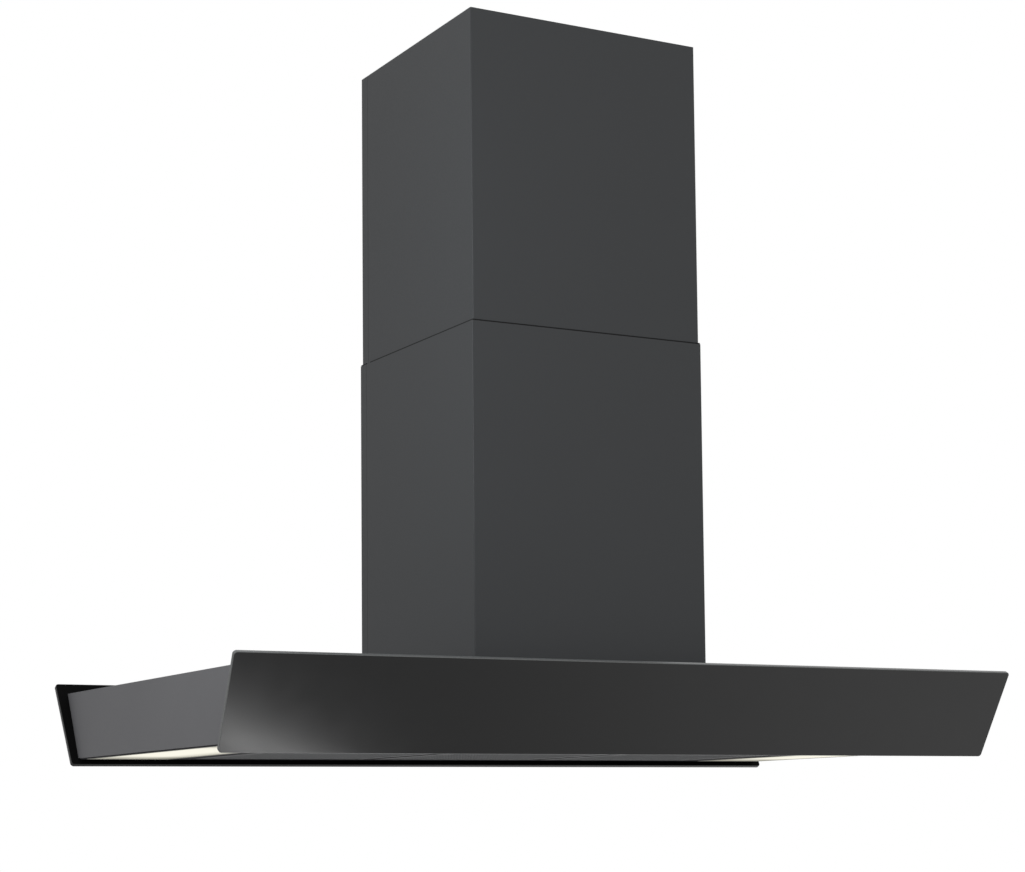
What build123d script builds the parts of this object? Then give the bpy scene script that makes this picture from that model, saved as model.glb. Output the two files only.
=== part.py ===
from build123d import *
import os
from math import cos, radians, sin, sqrt

# Island range hood. Millimetres, +Z up, X along the canopy, -Y toward the front glass.
# The origin is the centre of the ceiling plate's top face, so the whole hood hangs below z = 0.

# ---------------------------------------------------------------- driving dimensions

# overall
hood_drop = 870.0  # ceiling down to the lower edge of the glass
height_travel = 150.0  # how far the telescopic mast can raise the hood

# general fits
seat_gap = 0.1  # pieces of one body that bear on each other
loose_gap = 0.3  # pieces of different bodies that lie side by side
pivot_gap = 0.1  # radial running clearance of pins and plungers

# canopy
canopy_height = 100.0
canopy_width_top = 1000.0
glass_end_taper = 4.0  # each glass end comes in by this much from top to bottom
canopy_depth_top = 600.0
canopy_depth_bottom = 490.0
glass_thickness = 5.0
glass_corner_radius = 4.0
glass_edge_polish = 0.6
rail_thickness = 3.0
rail_width = 18.0
rail_end_margin = 46.0
rail_margin = 22.0
shell_sheet = 1.0
shell_flange = 12.0
side_sheet = 1.2
side_inset = 13.5
side_top_drop = 10.0
side_bottom_rise = 10.0
side_flange = 12.0

# chimney covers
chimney_width = 310.0
chimney_wall = 0.8
chimney_bend = 1.6
chimney_step = 2.0  # the upper chimney's faces lie this far inside the lower chimney's
lower_chimney_height = 410.0
chimney_overlap = 30.0
ceiling_gap = 1.0
rear_return = 18.0
return_seam = 0.4
tongue_width = 9.0

# telescopic mast
mast_inset = 13.0  # from the lower chimney's faces to the lower angles
mast_leg = 25.0
mast_sheet = 2.0
mast_slip = 0.5
upper_mast_length = 475.0
lower_mast_margin = 23.0  # lower angles above the clamp bolts
strap_height = 20.0
foot_depth = 15.0
clamp_bolt_drop = 375.0
clamp_bolt_pitch = 40.0

# ceiling plate and hangers
plate_inset = 10.0
plate_thickness = 3.0
duct_hole_radius = 80.0
anchor_radius = 4.5
anchor_spacing = 220.0
hanger_width = 120.0
hanger_depth = 30.0
hanger_sheet = 1.5
hanger_height = 30.0
hanger_screw_drop = 15.0
hanger_screw_spacing = 80.0

# locating ring under the lower chimney
ring_height = 12.0
ring_flange = 8.0
ring_sheet = 1.5
ring_screw_spacing = 120.0

# fasteners
bolt_radius = 2.5
bolt_head_radius = 4.5
bolt_head_height = 2.8
nut_height = 4.0
nut_across_flats = 8.0
screw_radius = 1.5
screw_head_radius = 3.0
screw_head_height = 1.6
screw_length = 5.0

# underside frame
frame_sheet = 1.2
frame_reveal = 1.5
frame_end_gap = 0.3
filter_count = 3
filter_web = 12.0  # between one filter aperture and the next
filter_rear_margin = 25.0
button_strip_width = 76.0
lamp_aperture_width = 96.0
lamp_end_margin = 20.6
lamp_side_margin = 54.5  # from the side panel's face to the lamp's middle
lamp_web = 24.0  # between a lamp aperture and the filters' field

# grease filters
filter_edge_gap = 2.0
filter_thickness = 9.0
filter_skin = 1.0
filter_lip = 10.0
filter_recess = 0.2
pleat_count = 16
pleat_sheet = 1.4
pivot_radius = 2.0
pivot_length = 5.0
pivot_inset = 8.0
ear_sheet = 1.5
ear_width = 16.0
ear_height = 10.5
ear_offset = 0.5
stop_width = 20.0
stop_lip = 6.0
latch_block_width = 92.0
latch_block_depth = 40.0
latch_pad_width = 60.0
latch_pad_depth = 15.0
latch_pad_height = 4.4
latch_travel = 6.0
guide_margin = 2.0
latch_wall = 6.0
latch_tongue_width = 30.0
latch_tongue_height = 2.6
latch_engagement = 2.5
latch_grip_depth = 2.0

# lamps
diffuser_lip = 4.0
diffuser_lip_height = 2.5
diffuser_gap = 0.2
tray_height = 22.0
tray_sheet = 0.8
board_thickness = 1.6
board_margin = 8.0
led_size = 5.0
led_height = 1.2
led_rows = 2
led_columns = 10

# push buttons
button_count = 5
button_pitch = 28.0
button_radius = 7.0
button_height = 3.0
button_travel = 2.0
button_collar = 1.2
button_crown = 0.8
guide_wall = 1.6
guide_length = 8.0
bezel_length = 170.0
bezel_width = 30.0
bezel_thickness = 2.0
bezel_corner = 6.0
bezel_post = 8.0
switch_block_height = 9.0

# blower
blade_depth = 14.0
impeller_half_width = 70.0
impeller_ring = 3.0
blade_count = 30
blade_thickness = 1.0
blade_lean = 9.0  # degrees by which a blade's tip leads its root
blade_bow = 3.4
hub_radius = 12.0
hub_length = 14.0
hub_disc = 2.4
shaft_radius = 4.0
scroll_gap = 12.0  # between impeller and scroll at the top
scroll_step = 12.0  # growth of the scroll's radius at each quarter turn
scroll_wall = 2.0
scroll_side_gap = 5.0
scroll_flange = 6.0
tongue_angle = 50.0
tongue_radius = 4.0
outlet_neck = 16.0
inlet_lap = 12.0  # the impeller's rim beyond the inlet
bell_radius = 10.0
motor_blade_gap = 18.0
motor_length = 62.0
motor_start = 11.0
motor_cap_radius = 28.0
motor_fin_count = 5
motor_fin_depth = 2.0
spider_sheet = 2.0
spider_arms = 3
spider_arm_width = 12.0
lug_radius = 6.0
lug_margin = 4.0
grommet_thickness = 2.4
spider_pad_rim = 1.0
bracket_screw_grip = 6.0

# intake box round the blower
box_inset = 17.0  # from the lower angles' faces to the box
box_side_gap = 5.0
box_sheet = 1.0
box_flange = 10.0
box_floor_gap = 10.0

# outlet adapter and damper
spigot_radius = 75.0
spigot_wall = 2.0
spigot_height = 50.0
spigot_offset = 40.0
adapter_rise = 55.0
adapter_flange = 8.0
adapter_sheet = 2.0
ledge_width = 3.0
ledge_height = 1.5
damper_rise = 14.0
damper_pin_radius = 2.0
flap_thickness = 1.2
flap_gap = 0.7
knuckle_radius = 3.4
knuckle_length = 28.0
knuckle_space = 4.0

# electrics
control_box_width = 80.0
control_box_length = 200.0
control_box_height = 42.0
gland_radius = 7.0
gland_height = 10.0
gland_bore = 4.0

# ---------------------------------------------------------------- derived levels and planes

glass_bottom = -hood_drop
glass_top = glass_bottom + canopy_height
shell_top = glass_top - side_top_drop
shell_bottom = glass_bottom + side_bottom_rise
frame_bottom = shell_bottom - frame_sheet
seam_level = shell_top + lower_chimney_height
upper_chimney_bottom = seam_level - chimney_overlap

canopy_width_bottom = canopy_width_top - 2 * glass_end_taper
mast_width = chimney_width - 2 * mast_inset
box_width = mast_width - 2 * box_inset

lean = (canopy_depth_top - canopy_depth_bottom) / 2 / canopy_height
slant = sqrt(1 + lean**2)


def glass_outer(level):
    """Half depth of the canopy over the outer glass faces."""
    return canopy_depth_bottom / 2 + lean * (level - glass_bottom)


def glass_inner(level):
    """Half depth between the inner glass faces."""
    return glass_outer(level) - glass_thickness * slant


def shell_outer(level):
    """Half depth over the steel shell, behind the bonded rails."""
    return glass_inner(level) - (rail_thickness + 2 * seat_gap) * slant


def glass_plane(side, inset):
    """Plane parallel to a glass face, inset from it, its y axis climbing the slope."""
    face = Plane(
        origin=(0, side * glass_outer(glass_bottom), glass_bottom),
        x_dir=(-side, 0, 0),
        z_dir=(0, side, -lean),
    )
    return face.offset(-inset)


def save(piece, name):
    """Label a finished piece and write its STEP file."""
    piece.part.label = name
    export_step(piece.part, f"parts/{name}.step")


os.makedirs("parts", exist_ok=True)

# ---------------------------------------------------------------- ceiling plate and hangers

plate_width = chimney_width - 2 * plate_inset
upper_mast_half = mast_width / 2 + mast_slip + mast_sheet
lower_mast_half = mast_width / 2
mast_bolt_offset = lower_mast_half - mast_leg / 2
foot_bolt_offset = lower_mast_half - foot_depth / 2
top_foot_bolt_offset = upper_mast_half - foot_depth / 2

with BuildPart() as ceiling_plate:
    with BuildSketch():
        RectangleRounded(plate_width, plate_width, bolt_head_radius)
        Circle(duct_hole_radius, mode=Mode.SUBTRACT)
        with GridLocations(anchor_spacing, anchor_spacing, 2, 2):
            Circle(anchor_radius, mode=Mode.SUBTRACT)
        with GridLocations(2 * mast_bolt_offset, 2 * top_foot_bolt_offset, 2, 2):
            Circle(bolt_radius + seat_gap, mode=Mode.SUBTRACT)
    extrude(amount=-plate_thickness)
save(ceiling_plate, "ceiling_plate")

upper_half = chimney_width / 2 - chimney_step
hanger_face = upper_half - chimney_wall - loose_gap

with BuildPart() as chimney_hangers:
    for side in (-1, 1):
        with BuildSketch(Plane.YZ) as hanger_profile:
            with BuildLine():
                Polyline(
                    (side * (hanger_face - hanger_depth), -plate_thickness),
                    (side * hanger_face, -plate_thickness),
                    (side * hanger_face, -plate_thickness - hanger_height),
                    (side * (hanger_face - hanger_sheet), -plate_thickness - hanger_height),
                    (side * (hanger_face - hanger_sheet), -plate_thickness - hanger_sheet),
                    (side * (hanger_face - hanger_depth), -plate_thickness - hanger_sheet),
                    close=True,
                )
            make_face()
        extrude(amount=hanger_width / 2, both=True)
    # forks open at the bottom, so that a loosened chimney drops off its screws' seats
    fork_half = screw_radius + loose_gap
    with BuildSketch(Plane.XZ):
        with GridLocations(hanger_screw_spacing, 0, 2, 1):
            with Locations((0, -hanger_screw_drop)):
                Circle(fork_half)
            with Locations((0, -hanger_screw_drop)):
                Rectangle(2 * fork_half, hanger_height, align=(Align.CENTER, Align.MAX))
    extrude(amount=chimney_width, both=True, mode=Mode.SUBTRACT)
save(chimney_hangers, "chimney_hangers")

# ---------------------------------------------------------------- telescopic mast

upper_mast_bottom = -plate_thickness - upper_mast_length
lower_mast_top = -clamp_bolt_drop + lower_mast_margin
clamp_levels = [-clamp_bolt_drop, -clamp_bolt_drop - clamp_bolt_pitch]
slot_top = -clamp_bolt_drop + bolt_radius + loose_gap
slot_bottom = clamp_levels[-1] - height_travel - bolt_radius - loose_gap
slot_width = 2 * (bolt_radius + 2 * loose_gap)


def angle_profile(half, side):
    """Two corner angles of one ladder frame, drawn in plan."""
    for end in (-1, 1):
        with Locations((side * (half - mast_leg / 2), end * (half - mast_sheet / 2))):
            Rectangle(mast_leg, mast_sheet)
        with Locations((side * (half - mast_sheet / 2), end * (half - mast_leg / 2))):
            Rectangle(mast_sheet, mast_leg)


for side, side_name in ((-1, "left"), (1, "right")):
    with BuildPart() as upper_mast:
        with BuildSketch(Plane.XY.offset(-plate_thickness)):
            angle_profile(upper_mast_half, side)
        extrude(amount=-upper_mast_length)
        # straps that tie the two angles into a ladder
        strap_levels = [-plate_thickness - 2 * strap_height, upper_mast_bottom + strap_height]
        for level in strap_levels:
            with BuildSketch(Plane.XY.offset(level)):
                with Locations((side * (upper_mast_half - mast_sheet / 2), 0)):
                    Rectangle(mast_sheet, 2 * upper_mast_half - mast_leg)
            extrude(amount=-strap_height)
        # feet turned inward under the ceiling plate
        with BuildSketch(Plane.XY.offset(-plate_thickness)):
            for end in (-1, 1):
                with Locations(
                    (side * mast_bolt_offset, end * (upper_mast_half - foot_depth / 2))
                ):
                    Rectangle(mast_leg, foot_depth)
        extrude(amount=-mast_sheet)
        with BuildSketch(Plane.XY):
            for end in (-1, 1):
                with Locations((side * mast_bolt_offset, end * top_foot_bolt_offset)):
                    Circle(bolt_radius + seat_gap)
        extrude(amount=-2 * strap_height, mode=Mode.SUBTRACT)
        with BuildSketch(Plane.XZ):
            with Locations(*[(side * mast_bolt_offset, level) for level in clamp_levels]):
                Circle(bolt_radius + seat_gap)
        extrude(amount=mast_width, both=True, mode=Mode.SUBTRACT)
    save(upper_mast, f"upper_mast_{side_name}")

    with BuildPart() as lower_mast:
        with BuildSketch(Plane.XY.offset(shell_top)):
            angle_profile(lower_mast_half, side)
        extrude(amount=lower_mast_top - shell_top)
        strap_levels = [shell_top + 2 * strap_height, lower_mast_top - strap_height]
        for level in strap_levels:
            with BuildSketch(Plane.XY.offset(level)):
                with Locations((side * (lower_mast_half - mast_sheet / 2), 0)):
                    Rectangle(mast_sheet, mast_width - mast_leg)
            extrude(amount=strap_height)
        with BuildSketch(Plane.XY.offset(shell_top)):
            for end in (-1, 1):
                with Locations((side * mast_bolt_offset, end * foot_bolt_offset)):
                    Rectangle(mast_leg, foot_depth)
        extrude(amount=mast_sheet)
        with BuildSketch(Plane.XY.offset(shell_top)):
            for end in (-1, 1):
                with Locations((side * mast_bolt_offset, end * foot_bolt_offset)):
                    Circle(bolt_radius + seat_gap)
        extrude(amount=strap_height, mode=Mode.SUBTRACT)
        # long slots in which the clamp bolts ride while the height is set
        with BuildSketch(Plane.XZ):
            with Locations((side * mast_bolt_offset, (slot_top + slot_bottom) / 2)):
                SlotOverall(slot_top - slot_bottom, slot_width, rotation=90)
        extrude(amount=mast_width, both=True, mode=Mode.SUBTRACT)
    save(lower_mast, f"lower_mast_{side_name}")

# Clamp bolts through both masts: heads outside, nuts inside.
# Bolts of the upper mast: four clamp each side of the telescope, four hang it from the plate.
with BuildPart() as upper_mast_bolts:
    for side in (-1, 1):
        outward = Plane((0, side * upper_mast_half, 0), x_dir=(1, 0, 0), z_dir=(0, side, 0))
        spots = [
            (x_sign * mast_bolt_offset, -side * level)
            for x_sign in (-1, 1)
            for level in clamp_levels
        ]
        with BuildSketch(outward):
            with Locations(*spots):
                Circle(bolt_head_radius)
        extrude(amount=bolt_head_height)
        shank_length = upper_mast_half - lower_mast_half + mast_sheet + loose_gap + nut_height
        with BuildSketch(outward):
            with Locations(*spots):
                Circle(bolt_radius)
        extrude(amount=-shank_length)
    with BuildSketch(Plane.XY.offset(-plate_thickness - mast_sheet)):
        with GridLocations(2 * mast_bolt_offset, 2 * top_foot_bolt_offset, 2, 2):
            Circle(bolt_head_radius)
    extrude(amount=-bolt_head_height)
    with BuildSketch(Plane.XY.offset(-plate_thickness - mast_sheet)):
        with GridLocations(2 * mast_bolt_offset, 2 * top_foot_bolt_offset, 2, 2):
            Circle(bolt_radius)
    extrude(amount=plate_thickness + mast_sheet - seat_gap)
save(upper_mast_bolts, "upper_mast_bolts")

with BuildPart() as mast_clamp_nuts:
    for side in (-1, 1):
        nut_face = lower_mast_half - mast_sheet - loose_gap
        inward = Plane((0, side * nut_face, 0), x_dir=(1, 0, 0), z_dir=(0, -side, 0))
        spots = [
            (x_sign * mast_bolt_offset, side * level)
            for x_sign in (-1, 1)
            for level in clamp_levels
        ]
        with BuildSketch(inward):
            with Locations(*spots):
                RegularPolygon(nut_across_flats / 2, 6, major_radius=False)
                Circle(bolt_radius + seat_gap / 2, mode=Mode.SUBTRACT)
        extrude(amount=nut_height)
save(mast_clamp_nuts, "mast_clamp_nuts")

with BuildPart() as mast_foot_bolts:
    with BuildSketch(Plane.XY.offset(shell_top + mast_sheet)):
        with GridLocations(2 * mast_bolt_offset, 2 * foot_bolt_offset, 2, 2):
            Circle(bolt_head_radius)
    extrude(amount=bolt_head_height)
    with BuildSketch(Plane.XY.offset(shell_top + mast_sheet)):
        with GridLocations(2 * mast_bolt_offset, 2 * foot_bolt_offset, 2, 2):
            Circle(bolt_radius)
    extrude(amount=-mast_sheet - shell_sheet - nut_height)
save(mast_foot_bolts, "mast_foot_bolts")

# ---------------------------------------------------------------- chimney covers


def front_cover(half, bottom, top):
    """Folded cover: the front face and both sides, open at the rear."""
    depth = 2 * half - rear_return - return_seam
    with BuildPart() as cover:
        with BuildSketch(Plane.XY.offset(bottom)) as outside:
            with Locations((0, -half + depth / 2)):
                Rectangle(2 * half, depth)
            fillet(outside.vertices().group_by(Axis.Y)[0], chimney_bend)
        extrude(amount=top - bottom)
        with BuildSketch(Plane.XY.offset(bottom)) as inside:
            with Locations((0, -half + chimney_wall + depth / 2)):
                Rectangle(2 * (half - chimney_wall), depth)
            fillet(inside.vertices().group_by(Axis.Y)[0], chimney_bend - chimney_wall)
        extrude(amount=top - bottom, mode=Mode.SUBTRACT)
    return cover


def rear_cover(half, bottom, top, screw_spots):
    """Rear cover with short returns, and joggled tongues that slip inside the front cover."""
    return_edge = half - rear_return
    joggle = 2 * chimney_wall
    tongue_face = half - chimney_wall - seat_gap
    with BuildPart() as cover:
        with BuildSketch(Plane.XY.offset(bottom)) as outside:
            with Locations((0, half - rear_return / 2)):
                Rectangle(2 * half, rear_return)
            fillet(outside.vertices().group_by(Axis.Y)[-1], chimney_bend)
        extrude(amount=top - bottom)
        with BuildSketch(Plane.XY.offset(bottom)) as inside:
            with Locations((0, half - chimney_wall - rear_return / 2)):
                Rectangle(2 * (half - chimney_wall), rear_return)
            fillet(inside.vertices().group_by(Axis.Y)[-1], chimney_bend - chimney_wall)
        extrude(amount=top - bottom, mode=Mode.SUBTRACT)
        with BuildSketch(Plane.XY.offset(bottom)):
            for side in (-1, 1):
                with Locations((side * (half - chimney_wall), return_edge + joggle / 2)):
                    Rectangle(2 * chimney_wall, joggle)
                with Locations(
                    (
                        side * (tongue_face - chimney_wall / 2),
                        return_edge + (joggle - tongue_width) / 2,
                    )
                ):
                    Rectangle(chimney_wall, tongue_width + joggle)
        extrude(amount=top - bottom)
        with BuildSketch(Plane.XZ):
            with Locations(*screw_spots):
                Circle(screw_radius + seat_gap)
        extrude(amount=-chimney_width, mode=Mode.SUBTRACT)
    return cover


def cover_screws(face, screw_spots):
    """Pan-head screws driven forward through a rear cover."""
    with BuildPart() as screws:
        rear_face = Plane((0, face, 0), x_dir=(-1, 0, 0), z_dir=(0, 1, 0))
        mirrored_spots = [(-x, z) for x, z in screw_spots]
        with BuildSketch(rear_face):
            with Locations(*mirrored_spots):
                Circle(screw_head_radius)
        extrude(amount=screw_head_height)
        with BuildSketch(rear_face):
            with Locations(*mirrored_spots):
                Circle(screw_radius)
        extrude(amount=-screw_length)
    return screws


lower_half = chimney_width / 2
ring_screw_level = shell_top + ring_height / 2
hanger_screws = [(side * hanger_screw_spacing / 2, -hanger_screw_drop) for side in (-1, 1)]
ring_screws = [(side * ring_screw_spacing / 2, ring_screw_level) for side in (-1, 1)]

upper_chimney_front = front_cover(upper_half, upper_chimney_bottom, -ceiling_gap)
save(upper_chimney_front, "upper_chimney_front")
upper_chimney_rear = rear_cover(upper_half, upper_chimney_bottom, -ceiling_gap, hanger_screws)
save(upper_chimney_rear, "upper_chimney_rear")
upper_chimney_screws = cover_screws(upper_half, hanger_screws)
save(upper_chimney_screws, "upper_chimney_screws")

lower_chimney_front = front_cover(lower_half, shell_top, seam_level)
save(lower_chimney_front, "lower_chimney_front")
lower_chimney_rear = rear_cover(lower_half, shell_top, seam_level, ring_screws)
save(lower_chimney_rear, "lower_chimney_rear")
lower_chimney_screws = cover_screws(lower_half, ring_screws)
save(lower_chimney_screws, "lower_chimney_screws")

# Locating ring: an angle frame on the canopy that the lower chimney slips over.
ring_half = lower_half - 2 * chimney_wall - 2 * seat_gap
with BuildPart() as chimney_base_ring:
    with BuildSketch(Plane.XY.offset(shell_top)):
        Rectangle(2 * ring_half, 2 * ring_half)
        ring_inner = 2 * (ring_half - ring_sheet)
        Rectangle(ring_inner, ring_inner, mode=Mode.SUBTRACT)
    extrude(amount=ring_height)
    with BuildSketch(Plane.XY.offset(shell_top)):
        Rectangle(ring_inner, ring_inner)
        flange_inner = ring_inner - 2 * ring_flange
        Rectangle(flange_inner, flange_inner, mode=Mode.SUBTRACT)
    extrude(amount=ring_sheet)
    with BuildSketch(Plane.XZ):
        with Locations(*ring_screws):
            Circle(screw_radius + seat_gap)
    extrude(amount=-chimney_width, mode=Mode.SUBTRACT)
save(chimney_base_ring, "chimney_base_ring")

# ---------------------------------------------------------------- canopy

side_face = canopy_width_top / 2 - side_inset
shell_half_length = side_face - side_sheet
intake_opening = box_width - 2 * (box_sheet + box_flange)
gland_spot = (mast_bolt_offset - mast_leg, -(ring_half - ring_sheet - ring_flange + box_width / 2) / 2)

with BuildPart() as canopy_shell:
    with BuildSketch(Plane.YZ):
        with BuildLine():
            Polyline(
                (-shell_outer(shell_bottom), shell_bottom),
                (shell_outer(shell_bottom), shell_bottom),
                (shell_outer(shell_top), shell_top),
                (-shell_outer(shell_top), shell_top),
                close=True,
            )
        make_face()
        offset(amount=-shell_sheet, kind=Kind.INTERSECTION, mode=Mode.SUBTRACT)
        with Locations((0, shell_bottom)):
            Rectangle(
                2 * (shell_outer(shell_bottom) - shell_flange), 4 * shell_sheet, mode=Mode.SUBTRACT
            )
    extrude(amount=shell_half_length, both=True)
    with BuildSketch(Plane.XY.offset(shell_top)):
        RectangleRounded(intake_opening, intake_opening, bolt_head_radius)
        with GridLocations(2 * mast_bolt_offset, 2 * foot_bolt_offset, 2, 2):
            Circle(bolt_radius + seat_gap)
        with Locations(gland_spot):
            Circle(gland_radius - 1 + seat_gap)
    extrude(amount=-2 * shell_sheet, mode=Mode.SUBTRACT)
save(canopy_shell, "canopy_shell")

for side, side_name in ((-1, "left"), (1, "right")):
    with BuildPart() as side_panel:
        with BuildSketch(Plane.YZ.offset(side * shell_half_length)):
            with BuildLine():
                Polyline(
                    (-glass_inner(shell_bottom) + loose_gap, shell_bottom),
                    (glass_inner(shell_bottom) - loose_gap, shell_bottom),
                    (glass_inner(shell_top) - loose_gap, shell_top),
                    (-glass_inner(shell_top) + loose_gap, shell_top),
                    close=True,
                )
            make_face()
        extrude(amount=side * side_sheet)
        # flange that laps under the shell's top
        flange_top = shell_top - shell_sheet - seat_gap
        flange_half = shell_outer(flange_top - side_sheet) - 2 * shell_sheet * slant
        with BuildSketch(Plane.XY.offset(flange_top)):
            with Locations((side * (shell_half_length - side_flange / 2), 0)):
                Rectangle(side_flange, 2 * flange_half)
        extrude(amount=-side_sheet)
    save(side_panel, f"{side_name}_side_panel")

glass_height = canopy_height * slant

for side, side_name in ((-1, "front"), (1, "rear")):
    with BuildPart() as glass:
        with BuildSketch(glass_plane(side, 0)) as outline:
            with BuildLine():
                Polyline(
                    (-canopy_width_bottom / 2, 0),
                    (canopy_width_bottom / 2, 0),
                    (canopy_width_top / 2, glass_height),
                    (-canopy_width_top / 2, glass_height),
                    close=True,
                )
            make_face()
            fillet(outline.vertices(), glass_corner_radius)
        extrude(amount=-glass_thickness)
        broad_faces = glass.faces().sort_by(SortBy.AREA)[-2:]
        chamfer(broad_faces.edges(), glass_edge_polish)
    save(glass, f"{side_name}_glass")

# Aluminium rails bonded to the inside of the glass and bolted to the shell.
with BuildPart() as glass_rails:
    shell_low = (shell_bottom - glass_bottom) * slant
    shell_high = (shell_top - glass_bottom) * slant
    for side in (-1, 1):
        with BuildSketch(glass_plane(side, glass_thickness + seat_gap)):
            with Locations((0, shell_low + rail_margin), (0, shell_high - rail_margin)):
                Rectangle(canopy_width_bottom - 2 * rail_end_margin, rail_width)
        extrude(amount=-rail_thickness)
save(glass_rails, "glass_rails")

# ---------------------------------------------------------------- underside frame

frame_half_length = shell_half_length - frame_end_gap
frame_half_depth = glass_inner(frame_bottom) - frame_reveal
aperture_rear = frame_half_depth - filter_rear_margin
aperture_front = -frame_half_depth + button_strip_width
aperture_middle = (aperture_front + aperture_rear) / 2
filter_aperture_length = aperture_rear - aperture_front
lamp_offset = side_face - lamp_side_margin
lamp_aperture_length = 2 * (frame_half_depth - lamp_end_margin)
filter_field_half = lamp_offset - lamp_aperture_width / 2 - lamp_web
filter_pitch = 2 * filter_field_half / filter_count
filter_aperture_width = filter_pitch - filter_web
filter_spots = [(index - (filter_count - 1) / 2) * filter_pitch for index in range(filter_count)]

filter_bottom = frame_bottom + filter_recess
filter_top = filter_bottom + filter_thickness
filter_front = aperture_front + filter_edge_gap
filter_rear = aperture_rear - filter_edge_gap
filter_width = filter_aperture_width - 2 * filter_edge_gap
pivot_y = filter_rear - pivot_inset
pivot_z = filter_bottom + filter_thickness / 2 + 1
ear_inner = filter_aperture_width / 2 + ear_offset

bezel_y = -frame_half_depth + button_strip_width / 2
button_spots = [
    ((index - (button_count - 1) / 2) * button_pitch, bezel_y) for index in range(button_count)
]
guide_outer = button_radius + guide_wall
post_spots = [(side * (bezel_length - bezel_post) / 2, bezel_y) for side in (-1, 1)]

with BuildPart() as underside_frame:
    with BuildSketch(Plane.XY.offset(frame_bottom)):
        Rectangle(2 * frame_half_length, 2 * frame_half_depth)
        with Locations(*[(x, aperture_middle) for x in filter_spots]):
            Rectangle(filter_aperture_width, filter_aperture_length, mode=Mode.SUBTRACT)
        with GridLocations(2 * lamp_offset, 0, 2, 1):
            Rectangle(lamp_aperture_width, lamp_aperture_length, mode=Mode.SUBTRACT)
        with Locations(*button_spots):
            Circle(guide_outer + seat_gap, mode=Mode.SUBTRACT)
        with Locations(*post_spots):
            Rectangle(bezel_post / 2, bezel_post, mode=Mode.SUBTRACT)
    extrude(amount=frame_sheet)
    # pivot ears at the rear of each aperture, and stops near its front
    for x in filter_spots:
        for side in (-1, 1):
            ear_x = x + side * (ear_inner + ear_sheet / 2)
            with BuildSketch(Plane.XY.offset(shell_bottom)):
                with Locations((ear_x, pivot_y)):
                    Rectangle(ear_sheet, ear_width)
                with Locations((ear_x, filter_front + stop_width)):
                    Rectangle(ear_sheet, stop_width)
            extrude(amount=ear_height)
            with BuildSketch(Plane.XY.offset(filter_top + loose_gap)):
                with Locations((ear_x - side * stop_lip / 2, filter_front + stop_width)):
                    Rectangle(stop_lip + ear_sheet, stop_width)
            extrude(amount=ear_height - (filter_top + loose_gap - shell_bottom))
    with BuildSketch(Plane.YZ):
        with Locations((pivot_y, pivot_z)):
            Circle(pivot_radius + pivot_gap)
    extrude(amount=frame_half_length, both=True, mode=Mode.SUBTRACT)
save(underside_frame, "underside_frame")

# ---------------------------------------------------------------- grease filters

pad_floor = filter_bottom + filter_recess
pad_front = filter_front + latch_wall + loose_gap
pocket_depth = latch_pad_depth + latch_travel + 2 * loose_gap
pocket_front = filter_front + latch_wall
tongue_bottom = shell_bottom + loose_gap
tongue_tip = aperture_front - latch_engagement
guide_run = latch_travel + guide_margin

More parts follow.
